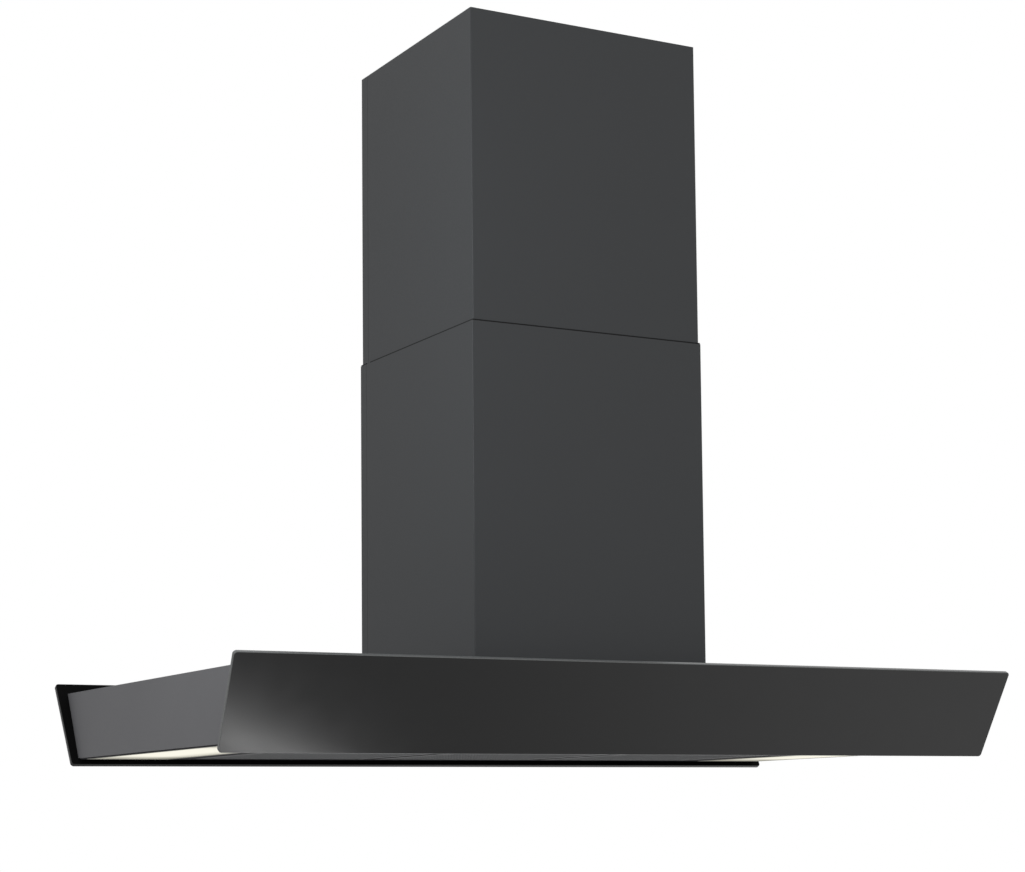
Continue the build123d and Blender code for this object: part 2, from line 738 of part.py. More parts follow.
for number, x in enumerate(filter_spots, start=1):
    with BuildPart() as filter_frame:
        # channel section all round: box, inner groove, window
        with BuildSketch(Plane.XY.offset(filter_bottom)):
            with Locations((x, aperture_middle)):
                Rectangle(filter_width, filter_rear - filter_front)
        extrude(amount=filter_thickness)
        groove_width = filter_width - 2 * filter_skin
        groove_length = filter_rear - filter_front - 2 * filter_skin
        with BuildSketch(Plane.XY.offset(filter_bottom + filter_skin)):
            with Locations((x, aperture_middle)):
                Rectangle(groove_width, groove_length)
        extrude(amount=filter_thickness - 2 * filter_skin, mode=Mode.SUBTRACT)
        with BuildSketch(Plane.XY.offset(filter_bottom)):
            with Locations((x, aperture_middle)):
                Rectangle(groove_width - 2 * filter_lip, groove_length - 2 * filter_lip)
        extrude(amount=filter_thickness, mode=Mode.SUBTRACT)
        # latch block with its pocket and guide slots
        with BuildSketch(Plane.XY.offset(filter_bottom)):
            with Locations((x, filter_front + latch_block_depth / 2)):
                Rectangle(latch_block_width, latch_block_depth)
        extrude(amount=filter_thickness)
        with BuildSketch(Plane.XY.offset(filter_bottom)):
            with Locations((x, pocket_front + pocket_depth / 2)):
                Rectangle(latch_pad_width + 2 * loose_gap, pocket_depth)
        extrude(amount=filter_recess + latch_pad_height + loose_gap, mode=Mode.SUBTRACT)
        slot_rear = pad_front + latch_pad_depth + guide_run + latch_travel + loose_gap
        with BuildSketch(Plane.XY.offset(tongue_bottom - loose_gap / 2)):
            with Locations((x, (filter_front + slot_rear) / 2)):
                Rectangle(latch_tongue_width + 2 * loose_gap, slot_rear - filter_front)
        extrude(amount=latch_tongue_height + loose_gap, mode=Mode.SUBTRACT)
        # pivot pins at the rear corners
        with BuildSketch(Plane.YZ.offset(x)):
            with Locations((pivot_y, pivot_z)):
                Circle(pivot_radius)
        extrude(amount=filter_width / 2 + pivot_length, both=True)
        # the pins are short: clear the run between them inside the channel
        with BuildSketch(Plane.XY.offset(filter_bottom + filter_skin)):
            with Locations((x, pivot_y)):
                Rectangle(groove_width, 2 * (pivot_radius + seat_gap))
        extrude(amount=filter_thickness - 2 * filter_skin, mode=Mode.SUBTRACT)
    save(filter_frame, f"filter_frame_{number}")

    with BuildPart() as filter_mesh:
        # pleated expanded aluminium, held in the channel
        core_half = groove_width / 2 - seat_gap
        core_bottom = filter_bottom + filter_skin + seat_gap
        core_height = filter_thickness - 2 * (filter_skin + seat_gap)
        pleat = 2 * core_half / pleat_count
        lower_edge = []
        for index in range(2 * pleat_count + 1):
            rise = (index % 2) * (core_height - pleat_sheet)
            lower_edge.append((x - core_half + index * pleat / 2, core_bottom + rise))
        upper_edge = [(px, pz + pleat_sheet) for px, pz in reversed(lower_edge)]
        rear_face = filter_rear - filter_skin - seat_gap
        with BuildSketch(Plane.XZ.offset(-rear_face)):
            with BuildLine():
                Polyline(*lower_edge, *upper_edge, close=True)
            make_face()
        extrude(amount=groove_length - 2 * seat_gap)
        with BuildSketch(Plane.XY.offset(filter_bottom)):
            with Locations((x, filter_front + latch_block_depth / 2)):
                Rectangle(latch_block_width + 2 * loose_gap, latch_block_depth + 2 * loose_gap)
        extrude(amount=filter_thickness, mode=Mode.SUBTRACT)
    save(filter_mesh, f"filter_mesh_{number}")

    with BuildPart() as filter_latch:
        with BuildSketch(Plane.XY.offset(pad_floor)):
            with Locations((x, pad_front + latch_pad_depth / 2)):
                Rectangle(latch_pad_width, latch_pad_depth)
        extrude(amount=latch_pad_height)
        # tongue to the front, guide to the rear
        tail = pad_front + latch_pad_depth + guide_run
        with BuildSketch(Plane.XY.offset(tongue_bottom)):
            with Locations((x, (tongue_tip + tail) / 2)):
                Rectangle(latch_tongue_width, tail - tongue_tip)
        extrude(amount=latch_tongue_height)
        chamfer(
            filter_latch.edges().filter_by(Axis.X).group_by(Axis.Y)[0].sort_by(Axis.Z)[-1],
            latch_tongue_height / 2,
        )
        # finger grip scooped out of the pad's face
        with BuildSketch(Plane.XY.offset(pad_floor)):
            with Locations((x, pad_front + latch_pad_depth / 2)):
                SlotOverall(latch_pad_width * 0.7, latch_pad_depth * 0.6)
        extrude(amount=latch_grip_depth, mode=Mode.SUBTRACT)
    save(filter_latch, f"filter_latch_{number}")

# ---------------------------------------------------------------- lamps

lip_half_width = lamp_aperture_width / 2 + diffuser_lip
lip_half_length = lamp_aperture_length / 2 + diffuser_lip
tray_top = shell_bottom + tray_height

for side, side_name in ((-1, "left"), (1, "right")):
    lamp_x = side * lamp_offset
    with BuildPart() as diffuser:
        with BuildSketch(Plane.XY.offset(frame_bottom)):
            with Locations((lamp_x, 0)):
                RectangleRounded(
                    lamp_aperture_width - 2 * diffuser_gap,
                    lamp_aperture_length - 2 * diffuser_gap,
                    diffuser_gap * 4,
                )
        extrude(amount=frame_sheet + diffuser_lip_height)
        with BuildSketch(Plane.XY.offset(shell_bottom + seat_gap)):
            with Locations((lamp_x, 0)):
                Rectangle(2 * lip_half_width, 2 * lip_half_length)
        extrude(amount=diffuser_lip_height - seat_gap)
    save(diffuser, f"{side_name}_diffuser")

    with BuildPart() as lamp_tray:
        tray_inner_width = 2 * (lip_half_width + diffuser_gap)
        tray_inner_length = 2 * (lip_half_length + diffuser_gap)
        with BuildSketch(Plane.XY.offset(shell_bottom)):
            with Locations((lamp_x, 0)):
                Rectangle(tray_inner_width + 2 * tray_sheet, tray_inner_length + 2 * tray_sheet)
        extrude(amount=tray_height)
        with BuildSketch(Plane.XY.offset(shell_bottom)):
            with Locations((lamp_x, 0)):
                Rectangle(tray_inner_width, tray_inner_length)
        extrude(amount=tray_height - tray_sheet, mode=Mode.SUBTRACT)
    save(lamp_tray, f"{side_name}_lamp_tray")

    with BuildPart() as led_board:
        board_width = tray_inner_width - 2 * board_margin
        board_length = tray_inner_length - 2 * board_margin
        board_top = tray_top - tray_sheet
        with BuildSketch(Plane.XY.offset(board_top)):
            with Locations((lamp_x, 0)):
                Rectangle(board_width, board_length)
        extrude(amount=-board_thickness)
        with BuildSketch(Plane.XY.offset(board_top - board_thickness)):
            with Locations((lamp_x, 0)):
                with GridLocations(
                    board_width / led_rows, board_length / led_columns, led_rows, led_columns
                ):
                    Rectangle(led_size, led_size)
        extrude(amount=-led_height)
    save(led_board, f"{side_name}_led_board")

# ---------------------------------------------------------------- push buttons

guide_top = frame_bottom + guide_length
collar_top = guide_top + button_collar
switch_floor = collar_top + button_travel + loose_gap

with BuildPart() as button_bezel:
    with BuildSketch(Plane.XY.offset(frame_bottom)):
        with Locations((0, bezel_y)):
            RectangleRounded(bezel_length, bezel_width, bezel_corner)
    extrude(amount=-bezel_thickness)
    chamfer(button_bezel.faces().sort_by(Axis.Z)[0].edges(), bezel_thickness / 3)
    with BuildSketch(Plane.XY.offset(frame_bottom)):
        with Locations(*button_spots):
            Circle(guide_outer)
    extrude(amount=guide_length)
    with BuildSketch(Plane.XY.offset(frame_bottom)):
        with Locations(*post_spots):
            Rectangle(bezel_post / 2 - 2 * seat_gap, bezel_post - 2 * seat_gap)
    extrude(amount=switch_floor - frame_bottom)
    with BuildSketch(Plane.XY.offset(frame_bottom - bezel_thickness)):
        with Locations(*button_spots):
            Circle(button_radius)
    extrude(amount=bezel_thickness + guide_length, mode=Mode.SUBTRACT)
save(button_bezel, "button_bezel")

with BuildPart() as switch_block:
    with BuildSketch(Plane.XY.offset(switch_floor)):
        with Locations((0, bezel_y)):
            Rectangle(bezel_length, 2 * guide_outer)
    extrude(amount=switch_block_height)
    chamfer(switch_block.faces().sort_by(Axis.Z)[-1].edges(), guide_wall)
save(switch_block, "switch_block")

for number, spot in enumerate(button_spots, start=1):
    with BuildPart() as button:
        button_face = frame_bottom - bezel_thickness - button_height
        with BuildSketch(Plane.XY.offset(button_face)):
            with Locations(spot):
                Circle(button_radius - pivot_gap)
        extrude(amount=guide_top - button_face)
        fillet(button.faces().sort_by(Axis.Z)[0].edges(), button_crown)
        with BuildSketch(Plane.XY.offset(guide_top + seat_gap)):
            with Locations(spot):
                Circle(guide_outer)
                Circle(button_radius - pivot_gap - guide_wall, mode=Mode.SUBTRACT)
        extrude(amount=button_collar - seat_gap)
        with BuildSketch(Plane.XY.offset(guide_top - guide_wall)):
            with Locations(spot):
                Circle(button_radius - pivot_gap)
                Circle(button_radius - pivot_gap - guide_wall, mode=Mode.SUBTRACT)
        extrude(amount=guide_wall + button_collar)
    save(button, f"push_button_{number}")

# ---------------------------------------------------------------- blower

scroll_half_width = impeller_half_width + scroll_side_gap
rim = scroll_wall + scroll_flange
scroll_across = box_width - 2 * box_side_gap
impeller_radius = scroll_across / 2 - scroll_gap - 2 * scroll_step - rim
impeller_inner_radius = impeller_radius - blade_depth
inlet_radius = impeller_radius - inlet_lap
motor_radius = impeller_inner_radius - motor_blade_gap
lug_circle = inlet_radius + bell_radius + lug_radius + lug_margin
scroll_top = impeller_radius + scroll_gap
scroll_left = scroll_top + scroll_step
scroll_below = scroll_left + scroll_step
scroll_right = scroll_below + scroll_step
outlet_run = scroll_top + rim + outlet_neck
fan_x = (scroll_left - scroll_right) / 2
fan_z = shell_top + box_floor_gap + scroll_below + rim
box_top = fan_z + outlet_run + box_sheet

fan_section = Plane((fan_x, 0, fan_z), x_dir=(1, 0, 0), z_dir=(0, 0, 1))
fan_axis = Axis((fan_x, 0, fan_z), (0, 1, 0))


def fan_plane(level, facing):
    """Plane across the fan shaft at y = level, facing -Y or +Y, its y axis up."""
    return Plane((fan_x, level, fan_z), x_dir=(-facing, 0, 0), z_dir=(0, facing, 0))


# The scroll is drawn with four arcs about the corners of a square, so its radius grows by one
# step at each quarter turn and the wall stays smooth. The tongue turns back into the outlet.
corner = scroll_step / 2
first_radius = scroll_top + corner
tongue_arc = CenterArc(
    (-corner, corner), first_radius - scroll_step, tongue_angle, 90 - tongue_angle, mode=Mode.PRIVATE
)
tongue_point = tongue_arc @ 0
tongue_turn = JernArc(
    start=tongue_point,
    tangent=(sin(radians(tongue_angle)), -cos(radians(tongue_angle))),
    radius=tongue_radius,
    arc_size=180 - tongue_angle,
    mode=Mode.PRIVATE,
)
outlet_left = (tongue_turn @ 1).X
outlet_right = scroll_right
outlet_width = outlet_right - outlet_left
outlet_centre = fan_x + (outlet_left + outlet_right) / 2


def scroll_outline(mirror_sign, top):
    """The air passage's outline, closed at a chosen height above the shaft."""
    with BuildLine() as line:
        CenterArc((-corner, corner), first_radius - scroll_step, tongue_angle, 90 - tongue_angle)
        CenterArc((-corner, -corner), first_radius, 90, 90)
        CenterArc((corner, -corner), first_radius + scroll_step, 180, 90)
        CenterArc((corner, corner), first_radius + 2 * scroll_step, 270, 90)
        Polyline(
            (outlet_right, corner),
            (outlet_right, top),
            (outlet_left, top),
            (outlet_left, (tongue_turn @ 1).Y),
        )
        JernArc(
            start=tongue_point,
            tangent=(sin(radians(tongue_angle)), -cos(radians(tongue_angle))),
            radius=tongue_radius,
            arc_size=180 - tongue_angle,
        )
        if mirror_sign < 0:
            mirror(about=Plane.YZ, mode=Mode.REPLACE)
    return line


lug_angles = [90 + index * 360 / spider_arms for index in range(spider_arms)]
bell_tip = scroll_half_width + scroll_wall + bell_radius
lug_spots = [(lug_circle * cos(radians(a)), lug_circle * sin(radians(a))) for a in lug_angles]

for facing, half_name in ((-1, "front"), (1, "rear")):
    with BuildPart() as scroll_half:
        passage = scroll_outline(-facing, 2 * outlet_run)
        with BuildSketch(fan_plane(0, facing)) as wall_face:
            add(passage.line)
            make_face()
            offset(amount=scroll_wall)
        extrude(amount=scroll_half_width + scroll_wall)
        with BuildSketch(fan_plane(0, facing)) as split_flange:
            add(passage.line)
            make_face()
            offset(amount=rim)
        extrude(amount=scroll_wall)
        with BuildSketch(fan_plane(0, facing)) as passage_face:
            add(passage.line)
            make_face()
        extrude(amount=scroll_half_width, mode=Mode.SUBTRACT)
        # trim at the outlet and add the outlet flange
        with BuildSketch(Plane.XY.offset(fan_z + outlet_run)):
            Rectangle(4 * scroll_right, 4 * scroll_right)
        extrude(amount=4 * outlet_run, mode=Mode.SUBTRACT)
        with BuildSketch(Plane.XY.offset(fan_z + outlet_run)):
            with Locations((outlet_centre, 0)):
                Rectangle(outlet_width + 2 * rim, 2 * (scroll_half_width + rim))
                Rectangle(outlet_width, 2 * scroll_half_width, mode=Mode.SUBTRACT)
            with Locations((outlet_centre, -facing * 2 * scroll_half_width)):
                Rectangle(
                    2 * outlet_width + 2 * rim, 4 * scroll_half_width, mode=Mode.SUBTRACT
                )
        extrude(amount=-scroll_wall)
        # bell mouth at the inlet
        with BuildSketch(fan_plane(scroll_half_width * facing, facing)):
            Circle(inlet_radius)
        extrude(amount=scroll_wall, mode=Mode.SUBTRACT)
        with BuildSketch(fan_section):
            with BuildLine():
                y0 = facing * scroll_half_width
                y1 = facing * (scroll_half_width + scroll_wall)
                y2 = facing * bell_tip
                r0 = inlet_radius
                r1 = inlet_radius + bell_radius
                Line((r0, y0), (r0, y1))
                RadiusArc((r0, y1), (r1, y2), -facing * bell_radius)
                Line((r1, y2), (r1, y2 - facing * scroll_wall))
                RadiusArc(
                    (r1, y2 - facing * scroll_wall),
                    (r0 + scroll_wall, y1),
                    facing * (bell_radius - scroll_wall),
                )
                Line((r0 + scroll_wall, y1), (r0 + scroll_wall, y0))
                Line((r0 + scroll_wall, y0), (r0, y0))
            make_face()
        revolve(axis=fan_axis)
        if facing > 0:
            # lugs that carry the motor spider
            with BuildSketch(fan_plane(scroll_half_width + scroll_wall, facing)):
                with Locations(*lug_spots):
                    Circle(lug_radius)
            extrude(amount=bell_radius)
            with BuildSketch(fan_plane(bell_tip, facing)):
                with Locations(*lug_spots):
                    Circle(screw_radius + seat_gap)
            extrude(amount=-bracket_screw_grip - seat_gap, mode=Mode.SUBTRACT)
    save(scroll_half, f"scroll_{half_name}_half")

# Double-inlet impeller: centre disc and hub, forward-curved blades, a ring at each end.
with BuildPart() as impeller:
    with BuildSketch(fan_section):
        with BuildLine():
            Polyline(
                (shaft_radius, -hub_length),
                (hub_radius, -hub_length),
                (hub_radius, -hub_disc / 2),
                (impeller_radius, -hub_disc / 2),
                (impeller_radius, hub_disc / 2),
                (hub_radius, hub_disc / 2),
                (hub_radius, hub_length / 2),
                (shaft_radius, hub_length / 2),
                close=True,
            )
        make_face()
    revolve(axis=fan_axis)
    with BuildSketch(fan_plane(-impeller_half_width, -1)):
        Circle(impeller_radius)
        Circle(impeller_radius - impeller_ring, mode=Mode.SUBTRACT)
    extrude(amount=-impeller_ring)
    with BuildSketch(fan_plane(impeller_half_width, 1)):
        Circle(impeller_radius)
        Circle(impeller_radius - impeller_ring, mode=Mode.SUBTRACT)
    extrude(amount=-impeller_ring)
    tip = impeller_radius - blade_thickness
    root_point = Vector(impeller_inner_radius, 0)
    tip_point = Vector(tip * cos(radians(blade_lean)), tip * sin(radians(blade_lean)))
    across = (tip_point - root_point).normalized().rotate(Axis.Z, 90) * blade_thickness
    with BuildSketch(fan_plane(-impeller_half_width + seat_gap, -1)) as blade_row:
        with PolarLocations(0, blade_count):
            with BuildSketch(mode=Mode.PRIVATE) as blade:
                with BuildLine():
                    SagittaArc(root_point, tip_point, -blade_bow)
                    SagittaArc(root_point + across, tip_point + across, -blade_bow)
                    Line(root_point, root_point + across)
                    Line(tip_point, tip_point + across)
                make_face()
            add(blade.sketch)
    extrude(amount=-2 * (impeller_half_width - seat_gap))
save(impeller, "impeller")

motor_end = motor_start + motor_length
spider_face = bell_tip + grommet_thickness

with BuildPart() as motor:
    fin_pitch = motor_length / (2 * motor_fin_count + 1)
    profile = [(shaft_radius + pivot_gap, motor_start), (motor_radius - motor_fin_depth, motor_start)]
    for index in range(motor_fin_count):
        groove = motor_start + (2 * index + 1) * fin_pitch
        profile.append((motor_radius - motor_fin_depth, groove))
        profile.append((motor_radius, groove))
        profile.append((motor_radius, groove + fin_pitch))
        profile.append((motor_radius - motor_fin_depth, groove + fin_pitch))
    profile += [
        (motor_radius - motor_fin_depth, motor_end),
        (motor_cap_radius, motor_end),
        (motor_cap_radius, spider_face - seat_gap),
        (shaft_radius + pivot_gap, spider_face - seat_gap),
    ]
    with BuildSketch(fan_section):
        with BuildLine():
            Polyline(*profile, close=True)
        make_face()
    revolve(axis=fan_axis)
save(motor, "motor")

with BuildPart() as motor_shaft:
    with BuildSketch(fan_plane(-hub_length - scroll_gap, -1)):
        Circle(shaft_radius)
    extrude(amount=-(hub_length + scroll_gap + spider_face - 2 * spider_sheet))
    chamfer(motor_shaft.edges().filter_by(GeomType.CIRCLE), shaft_radius / 8)
save(motor_shaft, "motor_shaft")

with BuildPart() as motor_bracket:
    with BuildSketch(fan_plane(spider_face, 1)) as spider:
        Circle(motor_cap_radius + spider_arm_width / 2)
        for angle in lug_angles:
            with Locations(
                Location((lug_circle / 2 * cos(radians(angle)), lug_circle / 2 * sin(radians(angle)), 0),
                         (0, 0, angle))
            ):
                Rectangle(lug_circle, spider_arm_width)
        with Locations(*lug_spots):
            Circle(lug_radius + spider_pad_rim)
            Circle(screw_radius + seat_gap, mode=Mode.SUBTRACT)
        Circle(motor_cap_radius / 2, mode=Mode.SUBTRACT)
    extrude(amount=spider_sheet)
save(motor_bracket, "motor_bracket")

with BuildPart() as motor_grommets:
    with BuildSketch(fan_plane(bell_tip + seat_gap / 2, 1)):
        with Locations(*lug_spots):
            Circle(lug_radius)
            Circle(screw_radius + seat_gap, mode=Mode.SUBTRACT)
    extrude(amount=grommet_thickness - seat_gap)
save(motor_grommets, "motor_grommets")

# Pan-head screws through the spider's arms and grommets into the scroll's lugs.
with BuildPart() as bracket_screws:
    with BuildSketch(fan_plane(spider_face + spider_sheet, 1)):
        with Locations(*lug_spots):
            Circle(screw_head_radius)
    extrude(amount=screw_head_height)
    with BuildSketch(fan_plane(spider_face + spider_sheet, 1)):
        with Locations(*lug_spots):
            Circle(screw_radius)
    extrude(amount=-(spider_sheet + grommet_thickness + bracket_screw_grip))
save(bracket_screws, "bracket_screws")

# ---------------------------------------------------------------- intake box and outlet

with BuildPart() as intake_box:
    box_inner = box_width - 2 * box_sheet
    with BuildSketch(Plane.XY.offset(shell_top)):
        Rectangle(box_width, box_width)
    extrude(amount=box_top - shell_top)
    with BuildSketch(Plane.XY.offset(shell_top + box_sheet)):
        Rectangle(box_inner, box_inner)
    extrude(amount=box_top - shell_top - 2 * box_sheet, mode=Mode.SUBTRACT)
    with BuildSketch(Plane.XY.offset(shell_top)):
        RectangleRounded(intake_opening, intake_opening, bolt_head_radius)
    extrude(amount=box_sheet, mode=Mode.SUBTRACT)
    with BuildSketch(Plane.XY.offset(box_top)):
        with Locations((outlet_centre, 0)):
            Rectangle(outlet_width, 2 * scroll_half_width)
    extrude(amount=-box_sheet, mode=Mode.SUBTRACT)
save(intake_box, "intake_box")

spigot_base = box_top + adapter_sheet + adapter_rise
damper_z = spigot_base + damper_rise
spigot_inner = spigot_radius - spigot_wall

with BuildPart() as outlet_adapter:
    # flange on the box, then a square-to-round transition
    with BuildSketch(Plane.XY.offset(box_top)):
        with Locations((outlet_centre, 0)):
            Rectangle(outlet_width + 2 * adapter_flange, 2 * (scroll_half_width + adapter_flange))
    extrude(amount=adapter_sheet)
    with BuildSketch(Plane.XY.offset(box_top + adapter_sheet)):
        with Locations((outlet_centre, 0)):
            Rectangle(outlet_width + 2 * spigot_wall, 2 * (scroll_half_width + spigot_wall))
    with BuildSketch(Plane.XY.offset(spigot_base)):
        with Locations((spigot_offset, 0)):
            Circle(spigot_radius)
    loft()
    with BuildSketch(Plane.XY.offset(spigot_base)):
        with Locations((spigot_offset, 0)):
            Circle(spigot_radius)
    extrude(amount=spigot_height)
    # air passage
    with BuildSketch(Plane.XY.offset(box_top)):
        with Locations((outlet_centre, 0)):
            Rectangle(outlet_width, 2 * scroll_half_width)
    extrude(amount=adapter_sheet, mode=Mode.SUBTRACT)
    with BuildSketch(Plane.XY.offset(box_top + adapter_sheet)):
        with Locations((outlet_centre, 0)):
            Rectangle(outlet_width, 2 * scroll_half_width)
    with BuildSketch(Plane.XY.offset(spigot_base)):
        with Locations((spigot_offset, 0)):
            Circle(spigot_inner)
    loft(mode=Mode.SUBTRACT)
    with BuildSketch(Plane.XY.offset(spigot_base)):
        with Locations((spigot_offset, 0)):
            Circle(spigot_inner)
    extrude(amount=spigot_height, mode=Mode.SUBTRACT)
    # ledge that the closed flaps rest on
    ledge_top = damper_z - damper_pin_radius - flap_thickness - loose_gap
    with BuildSketch(Plane.XY.offset(ledge_top)):
        with Locations((spigot_offset, 0)):
            Circle(spigot_radius - spigot_wall / 2)
            Circle(spigot_inner - ledge_width, mode=Mode.SUBTRACT)
    extrude(amount=-ledge_height)
    with BuildSketch(Plane.XZ):
        with Locations((spigot_offset, damper_z)):
            Circle(damper_pin_radius + seat_gap / 2)
    extrude(amount=2 * spigot_radius, both=True, mode=Mode.SUBTRACT)
save(outlet_adapter, "outlet_adapter")

with BuildPart() as damper_pin:
    with BuildSketch(Plane.XZ):
        with Locations((spigot_offset, damper_z)):
            Circle(damper_pin_radius)
    extrude(amount=spigot_radius - loose_gap, both=True)
save(damper_pin, "damper_pin")

flap_radius = spigot_inner - flap_gap
knuckle_pitch = knuckle_length + knuckle_space
plate_top = damper_z - damper_pin_radius

for side, side_name in ((-1, "left"), (1, "right")):
    own = [side * (index * 2 - 1.5) * knuckle_pitch for index in range(2)]
    other = [-y for y in own]
    with BuildPart() as damper_flap:
        with BuildSketch(Plane.XY.offset(plate_top)):
            with Locations((spigot_offset, 0)):
                Circle(flap_radius)
            # keep one half, then notch it round the other flap's knuckles
            with Locations((spigot_offset + side * (flap_gap - flap_radius), 0)):
                Rectangle(2 * flap_radius, 2 * flap_radius, mode=Mode.SUBTRACT)
            with Locations(*[(spigot_offset, y) for y in other]):
                Rectangle(
                    2 * (knuckle_radius + flap_gap), knuckle_length + 2, mode=Mode.SUBTRACT
                )
        extrude(amount=-flap_thickness)
        for y in own:
            with BuildSketch(Plane.XZ.offset(-y)):
                with Locations((spigot_offset, damper_z)):
                    Circle(knuckle_radius)
            extrude(amount=knuckle_length / 2, both=True)
        with BuildSketch(Plane.XZ):
            with Locations((spigot_offset, damper_z)):
                Circle(damper_pin_radius + pivot_gap)
        extrude(amount=2 * flap_radius, both=True, mode=Mode.SUBTRACT)
    save(damper_flap, f"damper_flap_{side_name}")

# ---------------------------------------------------------------- electrics

with BuildPart() as control_box:
    box_ceiling = shell_top - shell_sheet
    with BuildSketch(Plane.XY.offset(box_ceiling)):
        with Locations((lamp_offset, 0)):
            RectangleRounded(control_box_width, control_box_length, bezel_corner)
    extrude(amount=-control_box_height)
    fillet(control_box.faces().sort_by(Axis.Z)[0].edges(), bezel_corner / 2)
save(control_box, "control_box")

with BuildPart() as cable_gland:
    with BuildSketch(Plane.XY.offset(shell_top)):
        with Locations(gland_spot):
            RegularPolygon(gland_radius, 6)
    extrude(amount=gland_height / 3)
    with BuildSketch(Plane.XY.offset(shell_top + gland_height / 3)):
        with Locations(gland_spot):
            Circle(gland_radius - 1)
    extrude(amount=gland_height * 2 / 3, taper=8)
    with BuildSketch(Plane.XY.offset(shell_top)):
        with Locations(gland_spot):
            Circle(gland_radius - 1)
    extrude(amount=-gland_height / 2)
    with BuildSketch(Plane.XY.offset(shell_top + gland_height)):
        with Locations(gland_spot):
            Circle(gland_bore)
    extrude(amount=-2 * gland_height, mode=Mode.SUBTRACT)
save(cable_gland, "cable_gland")
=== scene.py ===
import math

import bmesh
import bpy
from bpy.props import FloatProperty, FloatVectorProperty, IntProperty, PointerProperty
from bpy.types import Operator, Panel, PropertyGroup
from mathutils import Matrix, Vector


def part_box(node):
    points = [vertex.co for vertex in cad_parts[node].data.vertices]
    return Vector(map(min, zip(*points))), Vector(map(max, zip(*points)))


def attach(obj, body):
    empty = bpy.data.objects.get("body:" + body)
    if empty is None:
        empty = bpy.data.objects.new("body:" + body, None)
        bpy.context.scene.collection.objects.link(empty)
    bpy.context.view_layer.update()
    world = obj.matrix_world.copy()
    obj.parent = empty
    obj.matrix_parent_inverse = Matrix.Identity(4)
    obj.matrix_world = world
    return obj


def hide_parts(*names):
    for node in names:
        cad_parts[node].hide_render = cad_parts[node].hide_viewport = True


bl_info = {
    "name": "Island range hood",
    "version": (1, 0, 0),
    "blender": (4, 5, 0),
    "location": "View3D > Sidebar > Range Hood",
    "description": "Dresses the packed island range hood with finishes, trim and fasteners",
    "category": "Object",
}

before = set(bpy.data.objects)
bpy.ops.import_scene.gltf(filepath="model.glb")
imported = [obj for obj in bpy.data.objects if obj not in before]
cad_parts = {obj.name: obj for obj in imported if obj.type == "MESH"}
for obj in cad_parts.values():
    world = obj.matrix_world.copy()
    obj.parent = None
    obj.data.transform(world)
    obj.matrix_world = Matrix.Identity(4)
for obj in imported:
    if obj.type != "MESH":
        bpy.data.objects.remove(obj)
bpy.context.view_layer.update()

# coordinate scales that draw a noise out into brushing lines along one axis
ALONG_X = (0.02, 1.0, 1.0)
ALONG_Y = (1.0, 0.02, 1.0)
# where most of a noise texture's values lie
NOISE_SPAN = {"From Min": 0.3, "From Max": 0.7}
# how much of an edge's height or width its easing takes
EASING = 0.25
# two points of a mesh that are nearer than this lie on one face
SAME_PLACE = 1e-5

# -------- small helpers


def linear(code):
    """Turn an sRGB hex colour such as '#3e3f41' into linear RGB."""
    channels = []
    for start in (1, 3, 5):
        value = int(code[start : start + 2], 16) / 255
        channels.append(value / 12.92 if value <= 0.04045 else ((value + 0.055) / 1.055) ** 2.4)
    return tuple(channels)


def shade(colour, share=1.0):
    """A colour with its alpha, made darker or lighter."""
    return (*(min(1.0, channel * share) for channel in colour), 1.0)


def per_metre(spacing_mm):
    """Pattern scale on object coordinates for a feature of this size in millimetres."""
    return 1000.0 / spacing_mm


def add_node(tree, kind, inputs=None, **settings):
    """Add a shader node with its settings. An input takes a value, a socket, or a node, whose
    first output in use is linked."""
    made = tree.nodes.new(kind)
    for name, value in settings.items():
        setattr(made, name, value)
    for name, value in (inputs or {}).items():
        if isinstance(value, bpy.types.Node):
            value = next(socket for socket in value.outputs if socket.enabled)
        if isinstance(value, bpy.types.NodeSocket):
            tree.links.new(value, made.inputs[name])
        else:
            made.inputs[name].default_value = value
    return made


def new_material(name):
    """A material with an empty tree, and the socket of the piece's own coordinates in metres."""
    material = bpy.data.materials.new(name)
    material.use_nodes = True
    tree = material.node_tree
    tree.nodes.clear()
    return material, tree, add_node(tree, "ShaderNodeTexCoord").outputs["Object"]


def make_active(piece):
    """Select one piece only."""
    bpy.ops.object.select_all(action="DESELECT")
    piece.select_set(True)
    bpy.context.view_layer.objects.active = piece


def smooth(pieces, angle=35.0):
    """Smooth the round faces of pieces and keep their edges crisp."""
    for piece in pieces:
        make_active(piece)
        bpy.ops.object.shade_smooth_by_angle(angle=math.radians(angle))


def finish_nodes(names, material, rounded=False):
    """Give CAD nodes one finish, and smooth the round faces of those that have them."""
    nodes = [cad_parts[name] for name in names]
    for node in nodes:
        node.data.materials.clear()
        node.data.materials.append(material)
    if rounded:
        smooth(nodes)


def apply_modifier(piece, kind, **settings):
    """Add a modifier, set it and apply it."""
    make_active(piece)
    modifier = piece.modifiers.new(kind.title(), kind)
    for name, value in settings.items():
        setattr(modifier, name, value)
    bpy.ops.object.modifier_apply(modifier=modifier.name)


def settle(piece):
    """Put a piece's place, turn and scale into its mesh."""
    make_active(piece)
    bpy.ops.object.transform_apply(location=True, rotation=True, scale=True)


def block(size, place):
    """A block of this size, centred on this place, to shape or to cut with."""
    bpy.ops.object.select_all(action="DESELECT")
    bpy.ops.mesh.primitive_cube_add(size=1.0, location=place)
    piece = bpy.context.active_object
    piece.scale = size
    settle(piece)
    return piece


def cut(piece, cutter):
    """Take a cutter's shape out of a piece, and delete the cutter."""
    apply_modifier(piece, "BOOLEAN", object=cutter, operation="DIFFERENCE", solver="EXACT")
    bpy.data.objects.remove(cutter)


